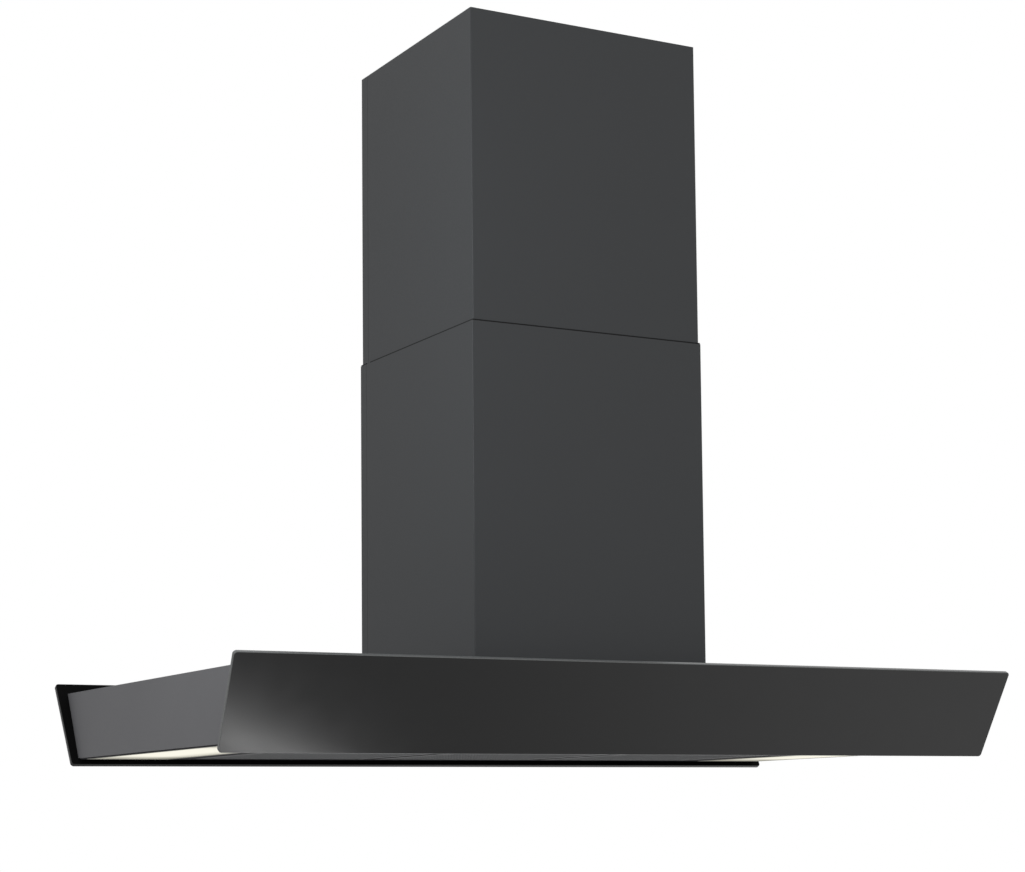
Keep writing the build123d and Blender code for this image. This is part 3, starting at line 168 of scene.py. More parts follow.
def copied(piece, name, offset):
    """A copy of a piece, with a mesh of its own, moved by an offset."""
    twin = piece.copy()
    twin.data = piece.data.copy()
    twin.name = name
    twin.data.name = name
    bpy.context.collection.objects.link(twin)
    twin.location = offset
    settle(twin)
    return twin


def join(pieces, name):
    """Join pieces into the first one."""
    bpy.ops.object.select_all(action="DESELECT")
    for piece in pieces:
        piece.select_set(True)
    bpy.context.view_layer.objects.active = pieces[0]
    bpy.ops.object.join()
    joined = bpy.context.view_layer.objects.active
    joined.name = name
    joined.data.name = name
    return joined


def hand_over(piece, body, material):
    """Finish a new piece: its material and the body that it rides on."""
    piece.data.materials.clear()
    piece.data.materials.append(material)
    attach(piece, body)


# -------- settings


class HoodFinishSettings(PropertyGroup):
    """Colours and sheens that a user may change before the hood is dressed."""

    chimney_colour: FloatVectorProperty(
        name="Chimney paint",
        description="Powder coat of the chimney covers",
        subtype="COLOR",
        default=linear("#37393b"),
    )
    canopy_colour: FloatVectorProperty(
        name="Canopy paint",
        description="Matt paint of the end panels and the canopy's top",
        subtype="COLOR",
        default=linear("#7b7b7e"),
    )
    glass_colour: FloatVectorProperty(
        name="Glass enamel",
        description="Enamel fired on the back of the long glass panels",
        subtype="COLOR",
        default=linear("#0c0c0d"),
    )
    light_colour: FloatVectorProperty(
        name="Lamp light",
        description="Warm white of the lit diffusers",
        subtype="COLOR",
        default=linear("#fffced"),
    )
    light_level: FloatProperty(
        name="Lamp level",
        description="How brightly the diffusers glow, where 1 is full white",
        default=0.96,
        min=0.0,
        max=5.0,
    )


class HoodDetailSettings(PropertyGroup):
    """Sizes of the pieces that are modelled here."""

    diamond_length: FloatProperty(
        name="Diamond length",
        description="Long way of one diamond of the expanded filter metal",
        default=0.012,
        unit="LENGTH",
    )
    diamond_width: FloatProperty(
        name="Diamond width",
        description="Short way of one diamond of the expanded filter metal",
        default=0.008,
        unit="LENGTH",
    )
    strand: FloatProperty(
        name="Strand",
        description="Thickness of one strand of the expanded filter metal",
        default=0.0009,
        unit="LENGTH",
    )
    frame_lip: FloatProperty(
        name="Filter frame lip",
        description="From a filter's edge to its window",
        default=0.0112,
        unit="LENGTH",
    )
    notch_width: FloatProperty(
        name="Notch width",
        description="Width cut from the lattice; its strands end inside the block of the latch",
        default=0.086,
        unit="LENGTH",
    )
    notch_depth: FloatProperty(
        name="Notch depth",
        description="Depth cut from the lattice; its strands end inside the block of the latch",
        default=0.0405,
        unit="LENGTH",
    )
    core_inset: FloatProperty(
        name="Filter core inset",
        description="From a filter frame's side to the core inside it",
        default=0.0011,
        unit="LENGTH",
    )
    diffuser_lip: FloatProperty(
        name="Diffuser lip",
        description="How far a diffuser's lip reaches over the edge of its opening",
        default=0.004,
        unit="LENGTH",
    )
    gasket_width: FloatProperty(
        name="Gasket width",
        description="Width of the rubber gasket, from the edge of the lamp's opening",
        default=0.0025,
        unit="LENGTH",
    )
    gasket_height: FloatProperty(
        name="Gasket height",
        description="How far the gasket stands below the underside frame",
        default=0.0005,
        unit="LENGTH",
    )
    seat: FloatProperty(
        name="Gasket seat",
        description="Glue line between the gasket and the frame",
        default=0.00005,
        unit="LENGTH",
    )
    # the black felt that these size is painted shadow: it draws the dark line of the seam between
    # the chimney covers
    strip_width: FloatProperty(
        name="Seam shadow strip thickness",
        description="Thickness of the felt between the chimney covers",
        default=0.001,
        unit="LENGTH",
    )
    cover_sheet: FloatProperty(
        name="Cover sheet",
        description="Thickness of the lower cover's sheet, which the felt is glued inside",
        default=0.0008,
        unit="LENGTH",
    )
    strip_depth: FloatProperty(
        name="Seam shadow strip depth",
        description="How far the felt reaches down inside the lower cover",
        default=0.012,
        unit="LENGTH",
    )
    strip_rise: FloatProperty(
        name="Seam shadow strip rise",
        description="How far the felt stands above the lower cover",
        default=0.0018,
        unit="LENGTH",
    )
    tongue_play: FloatProperty(
        name="Tongue play",
        description="From the felt's ends to the rear cover's tongues",
        default=0.0005,
        unit="LENGTH",
    )
    screw_head_radius: FloatProperty(
        name="Screw head radius",
        description="Radius of the chimney screws' pan heads",
        default=0.003,
        unit="LENGTH",
    )
    screw_head_height: FloatProperty(
        name="Screw head height",
        description="Height of the chimney screws' pan heads",
        default=0.0016,
        unit="LENGTH",
    )
    screw_radius: FloatProperty(
        name="Screw radius",
        description="Radius of the chimney screws' shanks",
        default=0.0015,
        unit="LENGTH",
    )
    recess_width: FloatProperty(
        name="Cross recess width",
        description="Width of one wing of the cross recess",
        default=0.0008,
        unit="LENGTH",
    )
    rib_pitch: FloatProperty(
        name="Grip rib pitch",
        description="From one grip rib to the next",
        default=0.004,
        unit="LENGTH",
    )
    rib_size: FloatVectorProperty(
        name="Grip rib size",
        description="Thickness, length and height of one grip rib",
        subtype="XYZ_LENGTH",
        default=(0.0012, 0.0078, 0.0014),
    )
    rib_middle: FloatProperty(
        name="Grip rib middle",
        description="Height of a rib's middle above the latch's lowest face",
        default=0.0013,
        unit="LENGTH",
    )
    rib_rounding: FloatProperty(
        name="Grip rib rounding",
        description="Radius along the edges of a grip rib",
        default=0.0004,
        unit="LENGTH",
    )
    rib_count: IntProperty(
        name="Grip ribs",
        description="Ribs in the finger grip of a filter's latch",
        default=7,
        min=1,
        max=15,
    )


class HoodStageSettings(PropertyGroup):
    """Where the camera stands, and the light."""

    camera_place: FloatVectorProperty(
        name="Camera place",
        description="Where the camera stands in the hood's own frame",
        subtype="TRANSLATION",
        default=(-1.3675, -2.5311, -0.9495),
    )
    camera_heading: FloatProperty(
        name="Heading",
        description="Turn of the camera from straight ahead, to the right",
        subtype="ANGLE",
        default=0.5265,
    )
    camera_rise: FloatProperty(
        name="Rise",
        description="Upward tilt of the camera",
        subtype="ANGLE",
        default=0.0868,
    )
    camera_roll: FloatProperty(
        name="Roll",
        description="Roll of the camera, clockwise",
        subtype="ANGLE",
        default=0.0129,
    )
    focal_length: FloatProperty(
        name="Focal length",
        description="Lens for a 36 mm sensor, in millimetres",
        default=82.964,
        min=10.0,
    )
    lens_rise: FloatProperty(
        name="Lens rise",
        description="Upward shift of the lens as a share of the sensor's width",
        default=0.1802,
    )
    lens_side: FloatProperty(
        name="Lens side shift",
        description="Shift of the lens to the right as a share of the sensor's width",
        default=-0.0887,
    )
    floor_depth: FloatProperty(
        name="Floor below ceiling",
        description="Height of the room",
        default=2.5,
        unit="LENGTH",
    )
    key_power: FloatProperty(
        name="Key light",
        description="Power of the soft light at the front left",
        subtype="POWER",
        default=4.5,
    )
    glow_power: FloatProperty(
        name="Edge glow",
        description="Power of the small light below the canopy's front left corner",
        subtype="POWER",
        default=0.225,
    )
    strip_power: FloatProperty(
        name="Strip light",
        description="Power of the tall cool light off the chimney's left front corner",
        subtype="POWER",
        default=1.4,
    )
    fill_power: FloatProperty(
        name="Fill light",
        description="Power of the soft light at the front",
        subtype="POWER",
        default=4.0,
    )


# -------- finishes


def grained(tree, colour, mottle, shades, grain, sheen, relief, shader):
    """The surface that paint, brushed metal and moulded plastic share. The mottle takes the colour
    from one of the two shades to the other. The grain moves the roughness by sheen (roughness,
    spread) and stands up by relief (strength, distance)."""
    base = add_node(
        tree,
        "ShaderNodeMix",
        {"Factor": mottle, "A": shade(colour, shades[0]), "B": shade(colour, shades[1])},
        data_type="RGBA",
    )
    roughness, spread = sheen
    rough = add_node(
        tree,
        "ShaderNodeMapRange",
        {**NOISE_SPAN, "Value": grain, "To Min": roughness - spread, "To Max": roughness + spread},
    )
    strength, distance = relief
    bump = add_node(
        tree, "ShaderNodeBump", {"Strength": strength, "Distance": distance, "Height": grain}
    )
    surface = add_node(
        tree,
        "ShaderNodeBsdfPrincipled",
        {"Base Color": base, "Roughness": rough, "Normal": bump, **shader},
    )
    add_node(tree, "ShaderNodeOutputMaterial", {"Surface": surface})


def powder_coat(name, colour, roughness, peel_mm, cloud=0.03, gloss=0.35):
    """Polyester powder coat, sprayed and baked on sheet steel: an even film whose faint orange
    peel breaks up reflections and leaves no grain."""
    material, tree, place = new_material(name)
    clouds = add_node(
        tree, "ShaderNodeTexNoise", {"Vector": place, "Scale": per_metre(90.0), "Detail": 2.0}
    )
    peel = add_node(
        tree,
        "ShaderNodeTexNoise",
        {"Vector": place, "Scale": per_metre(peel_mm), "Detail": 2.0, "Roughness": 0.4},
    )
    shades = (1 - cloud, 1 + cloud)
    shader = {"IOR": 1.5, "Specular IOR Level": gloss}
    grained(tree, colour, clouds, shades, peel, (roughness, 0.03), (0.08, 0.0003), shader)
    return material


def enamelled_glass(name, colour, outward, edge_dark, edge_light):
    """Toughened float glass, 5 mm, with black enamel fired on its back: a soft-mirrored front
    over near-black, a matt back, and edges ground and polished to a narrow band of their own,
    whose light tones are partly the glass's own and partly a painted highlight of light caught
    along the edge.
    The three are told apart by the way that the piece's own surface faces."""
    material, tree, place = new_material(name)
    facing = add_node(tree, "ShaderNodeTexCoord").outputs["Normal"]
    alignment = add_node(
        tree, "ShaderNodeVectorMath", {0: facing, 1: tuple(outward)}, operation="DOT_PRODUCT"
    ).outputs["Value"]
    front_share = add_node(
        tree, "ShaderNodeMapRange", {"Value": alignment, "From Min": 0.90, "From Max": 0.96}
    )
    back_share = add_node(
        tree, "ShaderNodeMapRange", {"Value": alignment, "From Min": -0.90, "From Max": -0.96}
    )
    # rollers leave a ripple of about 160 mm in float glass that has been toughened
    ripple = add_node(
        tree, "ShaderNodeTexNoise", {"Vector": place, "Scale": per_metre(160.0), "Detail": 1.0}
    )
    film = add_node(
        tree, "ShaderNodeTexNoise", {"Vector": place, "Scale": per_metre(35.0), "Detail": 3.0}
    )
    front_colour = add_node(
        tree,
        "ShaderNodeMix",
        {"Factor": film, "A": shade(colour, 0.9), "B": shade(colour, 1.1)},
        data_type="RGBA",
    )
    front_sheen = add_node(
        tree,
        "ShaderNodeMapRange",
        {**NOISE_SPAN, "Value": film, "To Min": 0.33, "To Max": 0.37},
    )
    front_relief = add_node(
        tree, "ShaderNodeBump", {"Strength": 0.02, "Distance": 0.001, "Height": ripple}
    )
    front = add_node(
        tree,
        "ShaderNodeBsdfPrincipled",
        {
            "Base Color": front_colour,
            "Roughness": front_sheen,
            "IOR": 1.5,
            "Normal": front_relief,
        },
    )
    grind = add_node(
        tree, "ShaderNodeTexNoise", {"Vector": place, "Scale": per_metre(1.5), "Detail": 2.0}
    )
    edge_colour = add_node(
        tree,
        "ShaderNodeMix",
        {"Factor": grind, "A": shade(edge_dark), "B": shade(edge_light)},
        data_type="RGBA",
    )
    edge = add_node(
        tree,
        "ShaderNodeBsdfPrincipled",
        {"Base Color": edge_colour, "Roughness": 0.25, "IOR": 1.5},
    )
    speckle = add_node(
        tree, "ShaderNodeTexNoise", {"Vector": place, "Scale": per_metre(0.6), "Detail": 2.0}
    )
    back_colour = add_node(
        tree,
        "ShaderNodeMix",
        {"Factor": speckle, "A": shade(linear("#0c0c0c")), "B": shade(linear("#131313"))},
        data_type="RGBA",
    )
    back = add_node(
        tree,
        "ShaderNodeBsdfPrincipled",
        {"Base Color": back_colour, "Roughness": 0.7, "Specular IOR Level": 0.04},
    )
    faced = add_node(tree, "ShaderNodeMixShader", {0: front_share, 1: edge, 2: front})
    backed = add_node(tree, "ShaderNodeMixShader", {0: back_share, 1: faced, 2: back})
    add_node(tree, "ShaderNodeOutputMaterial", {"Surface": backed})
    return material


def brushed_metal(name, colour, roughness, stretch, line_mm=0.5):
    """Stainless steel or aluminium brushed with a belt: long fine scratches one way, which draw
    each highlight out across them."""
    material, tree, place = new_material(name)
    drawn = add_node(tree, "ShaderNodeMapping", {"Vector": place, "Scale": stretch})
    lines = add_node(
        tree,
        "ShaderNodeTexNoise",
        {"Vector": drawn, "Scale": per_metre(line_mm), "Detail": 4.0, "Roughness": 0.7},
    )
    shades = (0.86, 1.12)
    shader = {"Metallic": 1.0}
    grained(tree, colour, lines, shades, lines, (roughness, 0.06), (0.12, 0.0001), shader)
    return material


def zinc_skin(tree, pattern, dark, light, smoothest, dullest):
    """The metal surface that both zinc finishes share: where the pattern is strong, it is lighter
    and duller."""
    base = add_node(
        tree,
        "ShaderNodeMix",
        {"Factor": pattern, "A": shade(linear(dark)), "B": shade(linear(light))},
        data_type="RGBA",
    )
    dullness = add_node(
        tree, "ShaderNodeMapRange", {"Value": pattern, "To Min": smoothest, "To Max": dullest}
    )
    metal = add_node(
        tree,
        "ShaderNodeBsdfPrincipled",
        {"Base Color": base, "Metallic": 1.0, "Roughness": dullness},
    )
    add_node(tree, "ShaderNodeOutputMaterial", {"Surface": metal})


def galvanised_steel(name):
    """Hot-dip galvanised sheet: zinc crystals a few millimetres across, each a little lighter or
    duller than the next, under a bluish bloom."""
    material, tree, place = new_material(name)
    crystals = add_node(
        tree, "ShaderNodeTexVoronoi", {"Vector": place, "Scale": per_metre(7.0)}
    ).outputs["Color"]
    spangle = add_node(tree, "ShaderNodeSeparateColor", {"Color": crystals})
    zinc_skin(tree, spangle, "#8f9396", "#b3b7b9", 0.34, 0.5)
    return material


def zinc_plate(name):
    """Bright zinc electroplate on small steel fasteners: bluish silver, thinly clouded by its
    passivation bath."""
    material, tree, place = new_material(name)
    cloud = add_node(
        tree, "ShaderNodeTexNoise", {"Vector": place, "Scale": per_metre(2.5), "Detail": 3.0}
    )
    zinc_skin(tree, cloud, "#a9adb0", "#c6c9c9", 0.22, 0.4)
    return material


def moulded_plastic(name, colour, roughness, texture_mm, depth=0.1):
    """Injection-moulded plastic or rubber with the fine spark-eroded texture of its mould: an
    even colour whose pits soften the highlight."""
    material, tree, place = new_material(name)
    pits = add_node(
        tree,
        "ShaderNodeTexNoise",
        {"Vector": place, "Scale": per_metre(texture_mm), "Detail": 2.0},
    )
    flow = add_node(
        tree, "ShaderNodeTexNoise", {"Vector": place, "Scale": per_metre(25.0), "Detail": 2.0}
    )
    shades = (0.92, 1.08)
    shader = {"IOR": 1.46}
    grained(tree, colour, flow, shades, pits, (roughness, 0.05), (depth, 0.0001), shader)
    return material


def opal_acrylic(name, colour, level):
    """Matt opal acrylic lit from behind by a shorter board: a warm glow, dimmer toward the
    diffuser's ends and its inner side, with no gloss of its own."""
    material, tree, place = new_material(name)
    # metres from the hood's middle, ahead and aside
    axes = add_node(tree, "ShaderNodeSeparateXYZ", {"Vector": place}).outputs
    ahead = add_node(tree, "ShaderNodeMath", {0: axes["Y"]}, operation="ABSOLUTE")
    aside = add_node(tree, "ShaderNodeMath", {0: axes["X"]}, operation="ABSOLUTE")
    ends = add_node(
        tree,
        "ShaderNodeMapRange",
        {"Value": ahead, "From Min": 0.11, "From Max": 0.21, "To Min": 1.0, "To Max": 0.35},
        interpolation_type="SMOOTHSTEP",
    )
    sides = add_node(
        tree,
        "ShaderNodeMapRange",
        {"Value": aside, "From Min": 0.38, "From Max": 0.425, "To Min": 0.55, "To Max": 1.0},
        interpolation_type="SMOOTHSTEP",
    )
    share = add_node(tree, "ShaderNodeMath", {0: ends, 1: sides}, operation="MULTIPLY")
    glow = add_node(
        tree,
        "ShaderNodeMix",
        {"Factor": share, "A": shade(linear("#69675a")), "B": shade(colour)},
        data_type="RGBA",
    )
    milk = add_node(
        tree, "ShaderNodeTexNoise", {"Vector": place, "Scale": per_metre(18.0), "Detail": 2.0}
    )
    base = add_node(
        tree,
        "ShaderNodeMix",
        {"Factor": milk, "A": shade(linear("#2b2a26")), "B": shade(linear("#32312c"))},
        data_type="RGBA",
    )
    acrylic = add_node(
        tree,
        "ShaderNodeBsdfPrincipled",
        {
            "Base Color": base,
            "Roughness": 0.6,
            "Specular IOR Level": 0.0,
            "Emission Color": glow,
            "Emission Strength": level,
        },
    )
    add_node(tree, "ShaderNodeOutputMaterial", {"Surface": acrylic})
    return material


def solder_mask(name):
    """White solder mask screened over woven glass fibre: an even white with the faint squares of
    the cloth below."""
    material, tree, place = new_material(name)
    weave = add_node(
        tree,
        "ShaderNodeTexChecker",
        {
            "Vector": place,
            "Scale": per_metre(1.2),
            "Color1": shade(linear("#d9dad2")),
            "Color2": shade(linear("#e4e5de")),
        },
    )
    board = add_node(
        tree, "ShaderNodeBsdfPrincipled", {"Base Color": weave, "Roughness": 0.35, "IOR": 1.5}
    )
    add_node(tree, "ShaderNodeOutputMaterial", {"Surface": board})
    return material


# -------- operators: finishes


class HOOD_OT_chimney(Operator):
    """Paint the telescopic chimney covers."""

    bl_idname = "hood.chimney"
    bl_label = "Chimney covers"

    def execute(self, context):
        colour = context.scene.hood_finish.chimney_colour
        covers = [
            "upper_chimney_front",
            "upper_chimney_rear",
            "lower_chimney_front",
            "lower_chimney_rear",
        ]
        paint = powder_coat("satin powder coat, anthracite", colour, 0.42, 1.6)
        finish_nodes(covers, paint, rounded=True)
        return {"FINISHED"}


class HOOD_OT_canopy(Operator):
    """Finish the canopy: end panels, top shell, glass panels and their rails."""

    bl_idname = "hood.canopy"
    bl_label = "Canopy and glass"

    def execute(self, context):
        settings = context.scene.hood_finish
        matt = powder_coat("matt powder coat, grey", settings.canopy_colour, 0.6, 1.2, cloud=0.05)
        finish_nodes(["left_side_panel", "right_side_panel", "canopy_shell"], matt)
        rail = brushed_metal("anodised aluminium, extruded", linear("#b9babb"), 0.38, ALONG_X)
        finish_nodes(["glass_rails"], rail)
        for name, side, edge in (
            # the front panel's light edge tones are partly the polished glass's own and partly a
            # painted highlight of light caught along its edges
            ("front_glass", -1, ("#5c5e5e", "#7b7d7d")),
            ("rear_glass", 1, ("#151616", "#232424")),
        ):
            lean = glass_lean(name)
            glass = enamelled_glass(
                f"toughened glass, enamelled back, {name}",
                settings.glass_colour,
                (0, side * math.cos(lean), -math.sin(lean)),
                linear(edge[0]),
                linear(edge[1]),
            )
            finish_nodes([name], glass, rounded=True)
        return {"FINISHED"}


def glass_lean(name):
    """Lean of a glass panel from upright, read from its broad faces."""
    widest = max(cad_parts[name].data.polygons, key=lambda face: face.area)
    return math.asin(abs(widest.normal.z))


class HOOD_OT_underside(Operator):
    """Finish the underside frame and the push buttons."""

    bl_idname = "hood.underside"
    bl_label = "Underside and controls"

    def execute(self, context):
        paint = powder_coat("matt powder coat, dark grey", linear("#47474a"), 0.7, 1.4, gloss=0.05)
        finish_nodes(["underside_frame"], paint)
        bezel = moulded_plastic("ABS, moulded, dark grey", linear("#2b2b2d"), 0.45, 0.5)
        finish_nodes(["button_bezel"], bezel, rounded=True)
        button = moulded_plastic("ABS, moulded, satin grey", linear("#8b8c8e"), 0.3, 0.8, 0.04)
        buttons = [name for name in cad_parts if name.startswith("push_button")]
        finish_nodes(buttons, button, rounded=True)
        block_plastic = moulded_plastic("glass-filled nylon, black", linear("#1b1b1c"), 0.55, 0.6)
        finish_nodes(["switch_block"], block_plastic)
        return {"FINISHED"}


class HOOD_OT_lamps(Operator):
    """Finish the lit end panels: opal diffusers, trays and lamp boards."""

    bl_idname = "hood.lamps"
    bl_label = "Lamps"

    def execute(self, context):
        settings = context.scene.hood_finish
        opal = opal_acrylic("opal acrylic, lit", settings.light_colour, settings.light_level)
        finish_nodes(["left_diffuser", "right_diffuser"], opal)
        tray = powder_coat("gloss powder coat, white", linear("#e3e3df"), 0.3, 1.4, cloud=0.01)
        finish_nodes(["left_lamp_tray", "right_lamp_tray"], tray)
        finish_nodes(["left_led_board", "right_led_board"], solder_mask("solder mask, white"))
        return {"FINISHED"}


class HOOD_OT_mast(Operator):
    """Finish the ceiling plate, the telescopic mast and their fasteners."""

    bl_idname = "hood.mast"
    bl_label = "Mast and ceiling plate"

    def execute(self, context):
        sheets = [
            "ceiling_plate",
            "chimney_hangers",
            "upper_mast_left",
            "upper_mast_right",
            "lower_mast_left",
            "lower_mast_right",
            "chimney_base_ring",
        ]
        finish_nodes(sheets, galvanised_steel("hot-dip galvanised steel"))
        bolts = ["upper_mast_bolts", "mast_clamp_nuts", "mast_foot_bolts", "bracket_screws"]
        finish_nodes(bolts, zinc_plate("zinc electroplate, bright"), rounded=True)
        return {"FINISHED"}


class HOOD_OT_blower(Operator):
    """Finish the blower, its intake box, the outlet and the damper."""

    bl_idname = "hood.blower"
    bl_label = "Blower and outlet"

    def execute(self, context):
        finish_nodes(["intake_box", "motor_bracket"], galvanised_steel("galvanised steel, folded"))
        casing = moulded_plastic("polypropylene, moulded, black", linear("#1c1c1e"), 0.5, 0.9)
        scroll = ["scroll_front_half", "scroll_rear_half", "outlet_adapter"]
        finish_nodes(scroll, casing, rounded=True)
        wheel = moulded_plastic("polypropylene, moulded, grey", linear("#4a4b4d"), 0.42, 0.8)
        finish_nodes(["impeller"], wheel, rounded=True)
        flap = moulded_plastic("ABS, moulded, black", linear("#202022"), 0.4, 0.7)
        finish_nodes(["damper_flap_left", "damper_flap_right"], flap, rounded=True)
        rod = brushed_metal("steel rod, ground", linear("#b0b0ae"), 0.28, ALONG_Y)
        finish_nodes(["motor_shaft", "damper_pin"], rod, rounded=True)
        cast = powder_coat("die-cast aluminium, painted black", linear("#242527"), 0.5, 0.9)
        finish_nodes(["motor"], cast, rounded=True)
        rubber = moulded_plastic("nitrile rubber, moulded", linear("#151515"), 0.75, 1.0, 0.2)
        finish_nodes(["motor_grommets"], rubber, rounded=True)
        return {"FINISHED"}


class HOOD_OT_electrics(Operator):
    """Finish the control box and the cable gland."""

    bl_idname = "hood.electrics"
    bl_label = "Electrics"

    def execute(self, context):
        case = moulded_plastic("flame-retardant ABS, black", linear("#1e1e20"), 0.55, 0.7)
        finish_nodes(["control_box"], case, rounded=True)
        gland = moulded_plastic("nylon, moulded, black", linear("#18181a"), 0.4, 0.8)
        finish_nodes(["cable_gland"], gland, rounded=True)
        return {"FINISHED"}


# -------- operators: modelled pieces


def ring(name, outer, width, base, height):
    """A thin rectangular ring: a plane, inset, opened, drawn up and eased at its edges.

    outer is (low x, low y, high x, high y), and width is measured inwards from it."""
    bpy.ops.object.select_all(action="DESELECT")
    middle = ((outer[0] + outer[2]) / 2, (outer[1] + outer[3]) / 2, base)
    bpy.ops.mesh.primitive_plane_add(size=1.0, location=middle)
    piece = bpy.context.active_object
    piece.name = name
    piece.data.name = name
    piece.scale = (outer[2] - outer[0], outer[3] - outer[1], 1.0)
    settle(piece)
    bpy.ops.object.mode_set(mode="EDIT")
    bpy.ops.mesh.select_all(action="SELECT")
    bpy.ops.mesh.inset(thickness=width)
    bpy.ops.mesh.delete(type="FACE")
    bpy.ops.mesh.select_all(action="SELECT")
    bpy.ops.mesh.extrude_region_move(TRANSFORM_OT_translate={"value": (0, 0, height)})
    bpy.ops.mesh.select_all(action="SELECT")
    bpy.ops.mesh.normals_make_consistent(inside=False)
    bpy.ops.object.mode_set(mode="OBJECT")
    apply_modifier(piece, "BEVEL", width=min(height, width) * EASING, segments=2)
    return piece


class HOOD_OT_lamp_gaskets(Operator):
    """Model the rubber gaskets around the diffusers."""

    bl_idname = "hood.lamp_gaskets"
    bl_label = "Lamp gaskets"

    def execute(self, context):
        details = context.scene.hood_detail
        silicone = moulded_plastic("silicone rubber, extruded, white", linear("#c9c8c2"), 0.7, 1.2)
        low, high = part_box("left_diffuser")
        reach = details.gasket_width - details.diffuser_lip
        left = ring(
            "left_lamp_gasket",
            (low.x - reach, low.y - reach, high.x + reach, high.y + reach),
            details.gasket_width,
            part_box("underside_frame")[0].z - details.gasket_height - details.seat,
            details.gasket_height,
        )
        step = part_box("right_diffuser")[0].x - low.x
        right = copied(left, "right_lamp_gasket", (step, 0, 0))
        for gasket in (left, right):
            hand_over(gasket, "hood", silicone)
        return {"FINISHED"}


class HOOD_OT_seam_shadow_strip(Operator):
    """Model a black felt in the lower cover's rim, open where the rear cover's tongues run; it
    paints the seam's shadow line.
    """

    bl_idname = "hood.wear_strip"
    bl_label = "Chimney wear strip"

    def execute(self, context):
        details = context.scene.hood_detail
        front_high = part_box("lower_chimney_front")[1]
        reach = front_high.x - details.cover_sheet
        strip = ring(
            "chimney_wear_strip",
            (-reach, -reach, reach, reach),
            details.strip_width,
            front_high.z - details.strip_depth,
            details.strip_depth + details.strip_rise,
        )
        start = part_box("lower_chimney_rear")[0].y - details.tongue_play
        end = front_high.y + 2 * details.cover_sheet + details.tongue_play
        # the cutter stands well clear of the felt at both sides, above and below
        opening = (3 * reach, end - start, 6 * details.strip_depth)
        cut(strip, block(opening, (0, (start + end) / 2, front_high.z)))
        # the felt's black is painted shadow: its edge above the lower cover draws the dark line of
        # the covers' seam
        felt = moulded_plastic("wool felt, pressed, black", linear("#101011"), 0.95, 0.4, 0.6)
        hand_over(strip, "hood", felt)
        return {"FINISHED"}


class HOOD_OT_filters(Operator):
    """Finish the grease filters and model the expanded metal in their windows."""

    bl_idname = "hood.filters"
    bl_label = "Grease filters"

    def execute(self, context):
        graphite, foil = linear("#707172"), linear("#a2a3a4")
        frame_metal = brushed_metal("anodised aluminium, graphite", graphite, 0.42, ALONG_Y)
        core_metal = brushed_metal("aluminium foil, slit and pleated", foil, 0.42, ALONG_Y)
        latch = moulded_plastic("glass-filled nylon, grey", linear("#3a3a3c"), 0.45, 0.6)
        first = expanded_metal(context.scene.hood_detail)
        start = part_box("filter_frame_1")[0].x
        for number in (1, 2, 3):
            finish_nodes([f"filter_frame_{number}"], frame_metal)
            finish_nodes([f"filter_mesh_{number}"], core_metal)
            finish_nodes([f"filter_latch_{number}"], latch)
            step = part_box(f"filter_frame_{number}")[0].x - start
            name = f"filter_{number}_expanded_metal"
            lattice = first if number == 1 else copied(first, name, (step, 0, 0))
            hand_over(lattice, f"filter_{number}", frame_metal)
        return {"FINISHED"}


def expanded_metal(details):
    """Diamond lattice in the first filter's window: a grid, un-subdivided to diamonds, made wire.

    Its diamonds are drawn coarser than real 6 x 4 mm filter mesh, so that they show."""
    low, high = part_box("filter_frame_1")
    core_low, core_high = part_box("filter_mesh_1")
    middle_x = (low.x + high.x) / 2
    lip = details.frame_lip
    width = core_high.x - core_low.x + 2 * (details.core_inset - lip)
    front = low.y + lip
    rear = high.y - lip
    bpy.ops.object.select_all(action="DESELECT")
    bpy.ops.mesh.primitive_grid_add(
        x_subdivisions=2 * round(width / details.diamond_length),
        y_subdivisions=2 * round((rear - front) / details.diamond_width),
        size=1.0,
        location=(middle_x, (front + rear) / 2, (low.z + core_low.z) / 2),
    )
    lattice = bpy.context.active_object
    lattice.name = "filter_1_expanded_metal"
    lattice.data.name = lattice.name
    lattice.scale = (width, rear - front, 1.0)
    settle(lattice)
    # leave out the stretch that the latch block fills
    bpy.ops.object.mode_set(mode="EDIT")
    bpy.ops.mesh.select_all(action="DESELECT")
    cells = bmesh.from_edit_mesh(lattice.data)
    for face in cells.faces:
        centre = face.calc_center_median()
        beside = abs(centre.x - middle_x) < details.notch_width / 2
        face.select_set(beside and centre.y < low.y + details.notch_depth)
    bmesh.update_edit_mesh(lattice.data)
    bpy.ops.mesh.delete(type="FACE")
    bpy.ops.object.mode_set(mode="OBJECT")
    apply_modifier(lattice, "DECIMATE", decimate_type="UNSUBDIV", iterations=1)
    apply_modifier(
        lattice,
        "WIREFRAME",
        thickness=details.strand,
        use_even_offset=False,
        use_replace=True,
        use_boundary=True,
    )
    return lattice


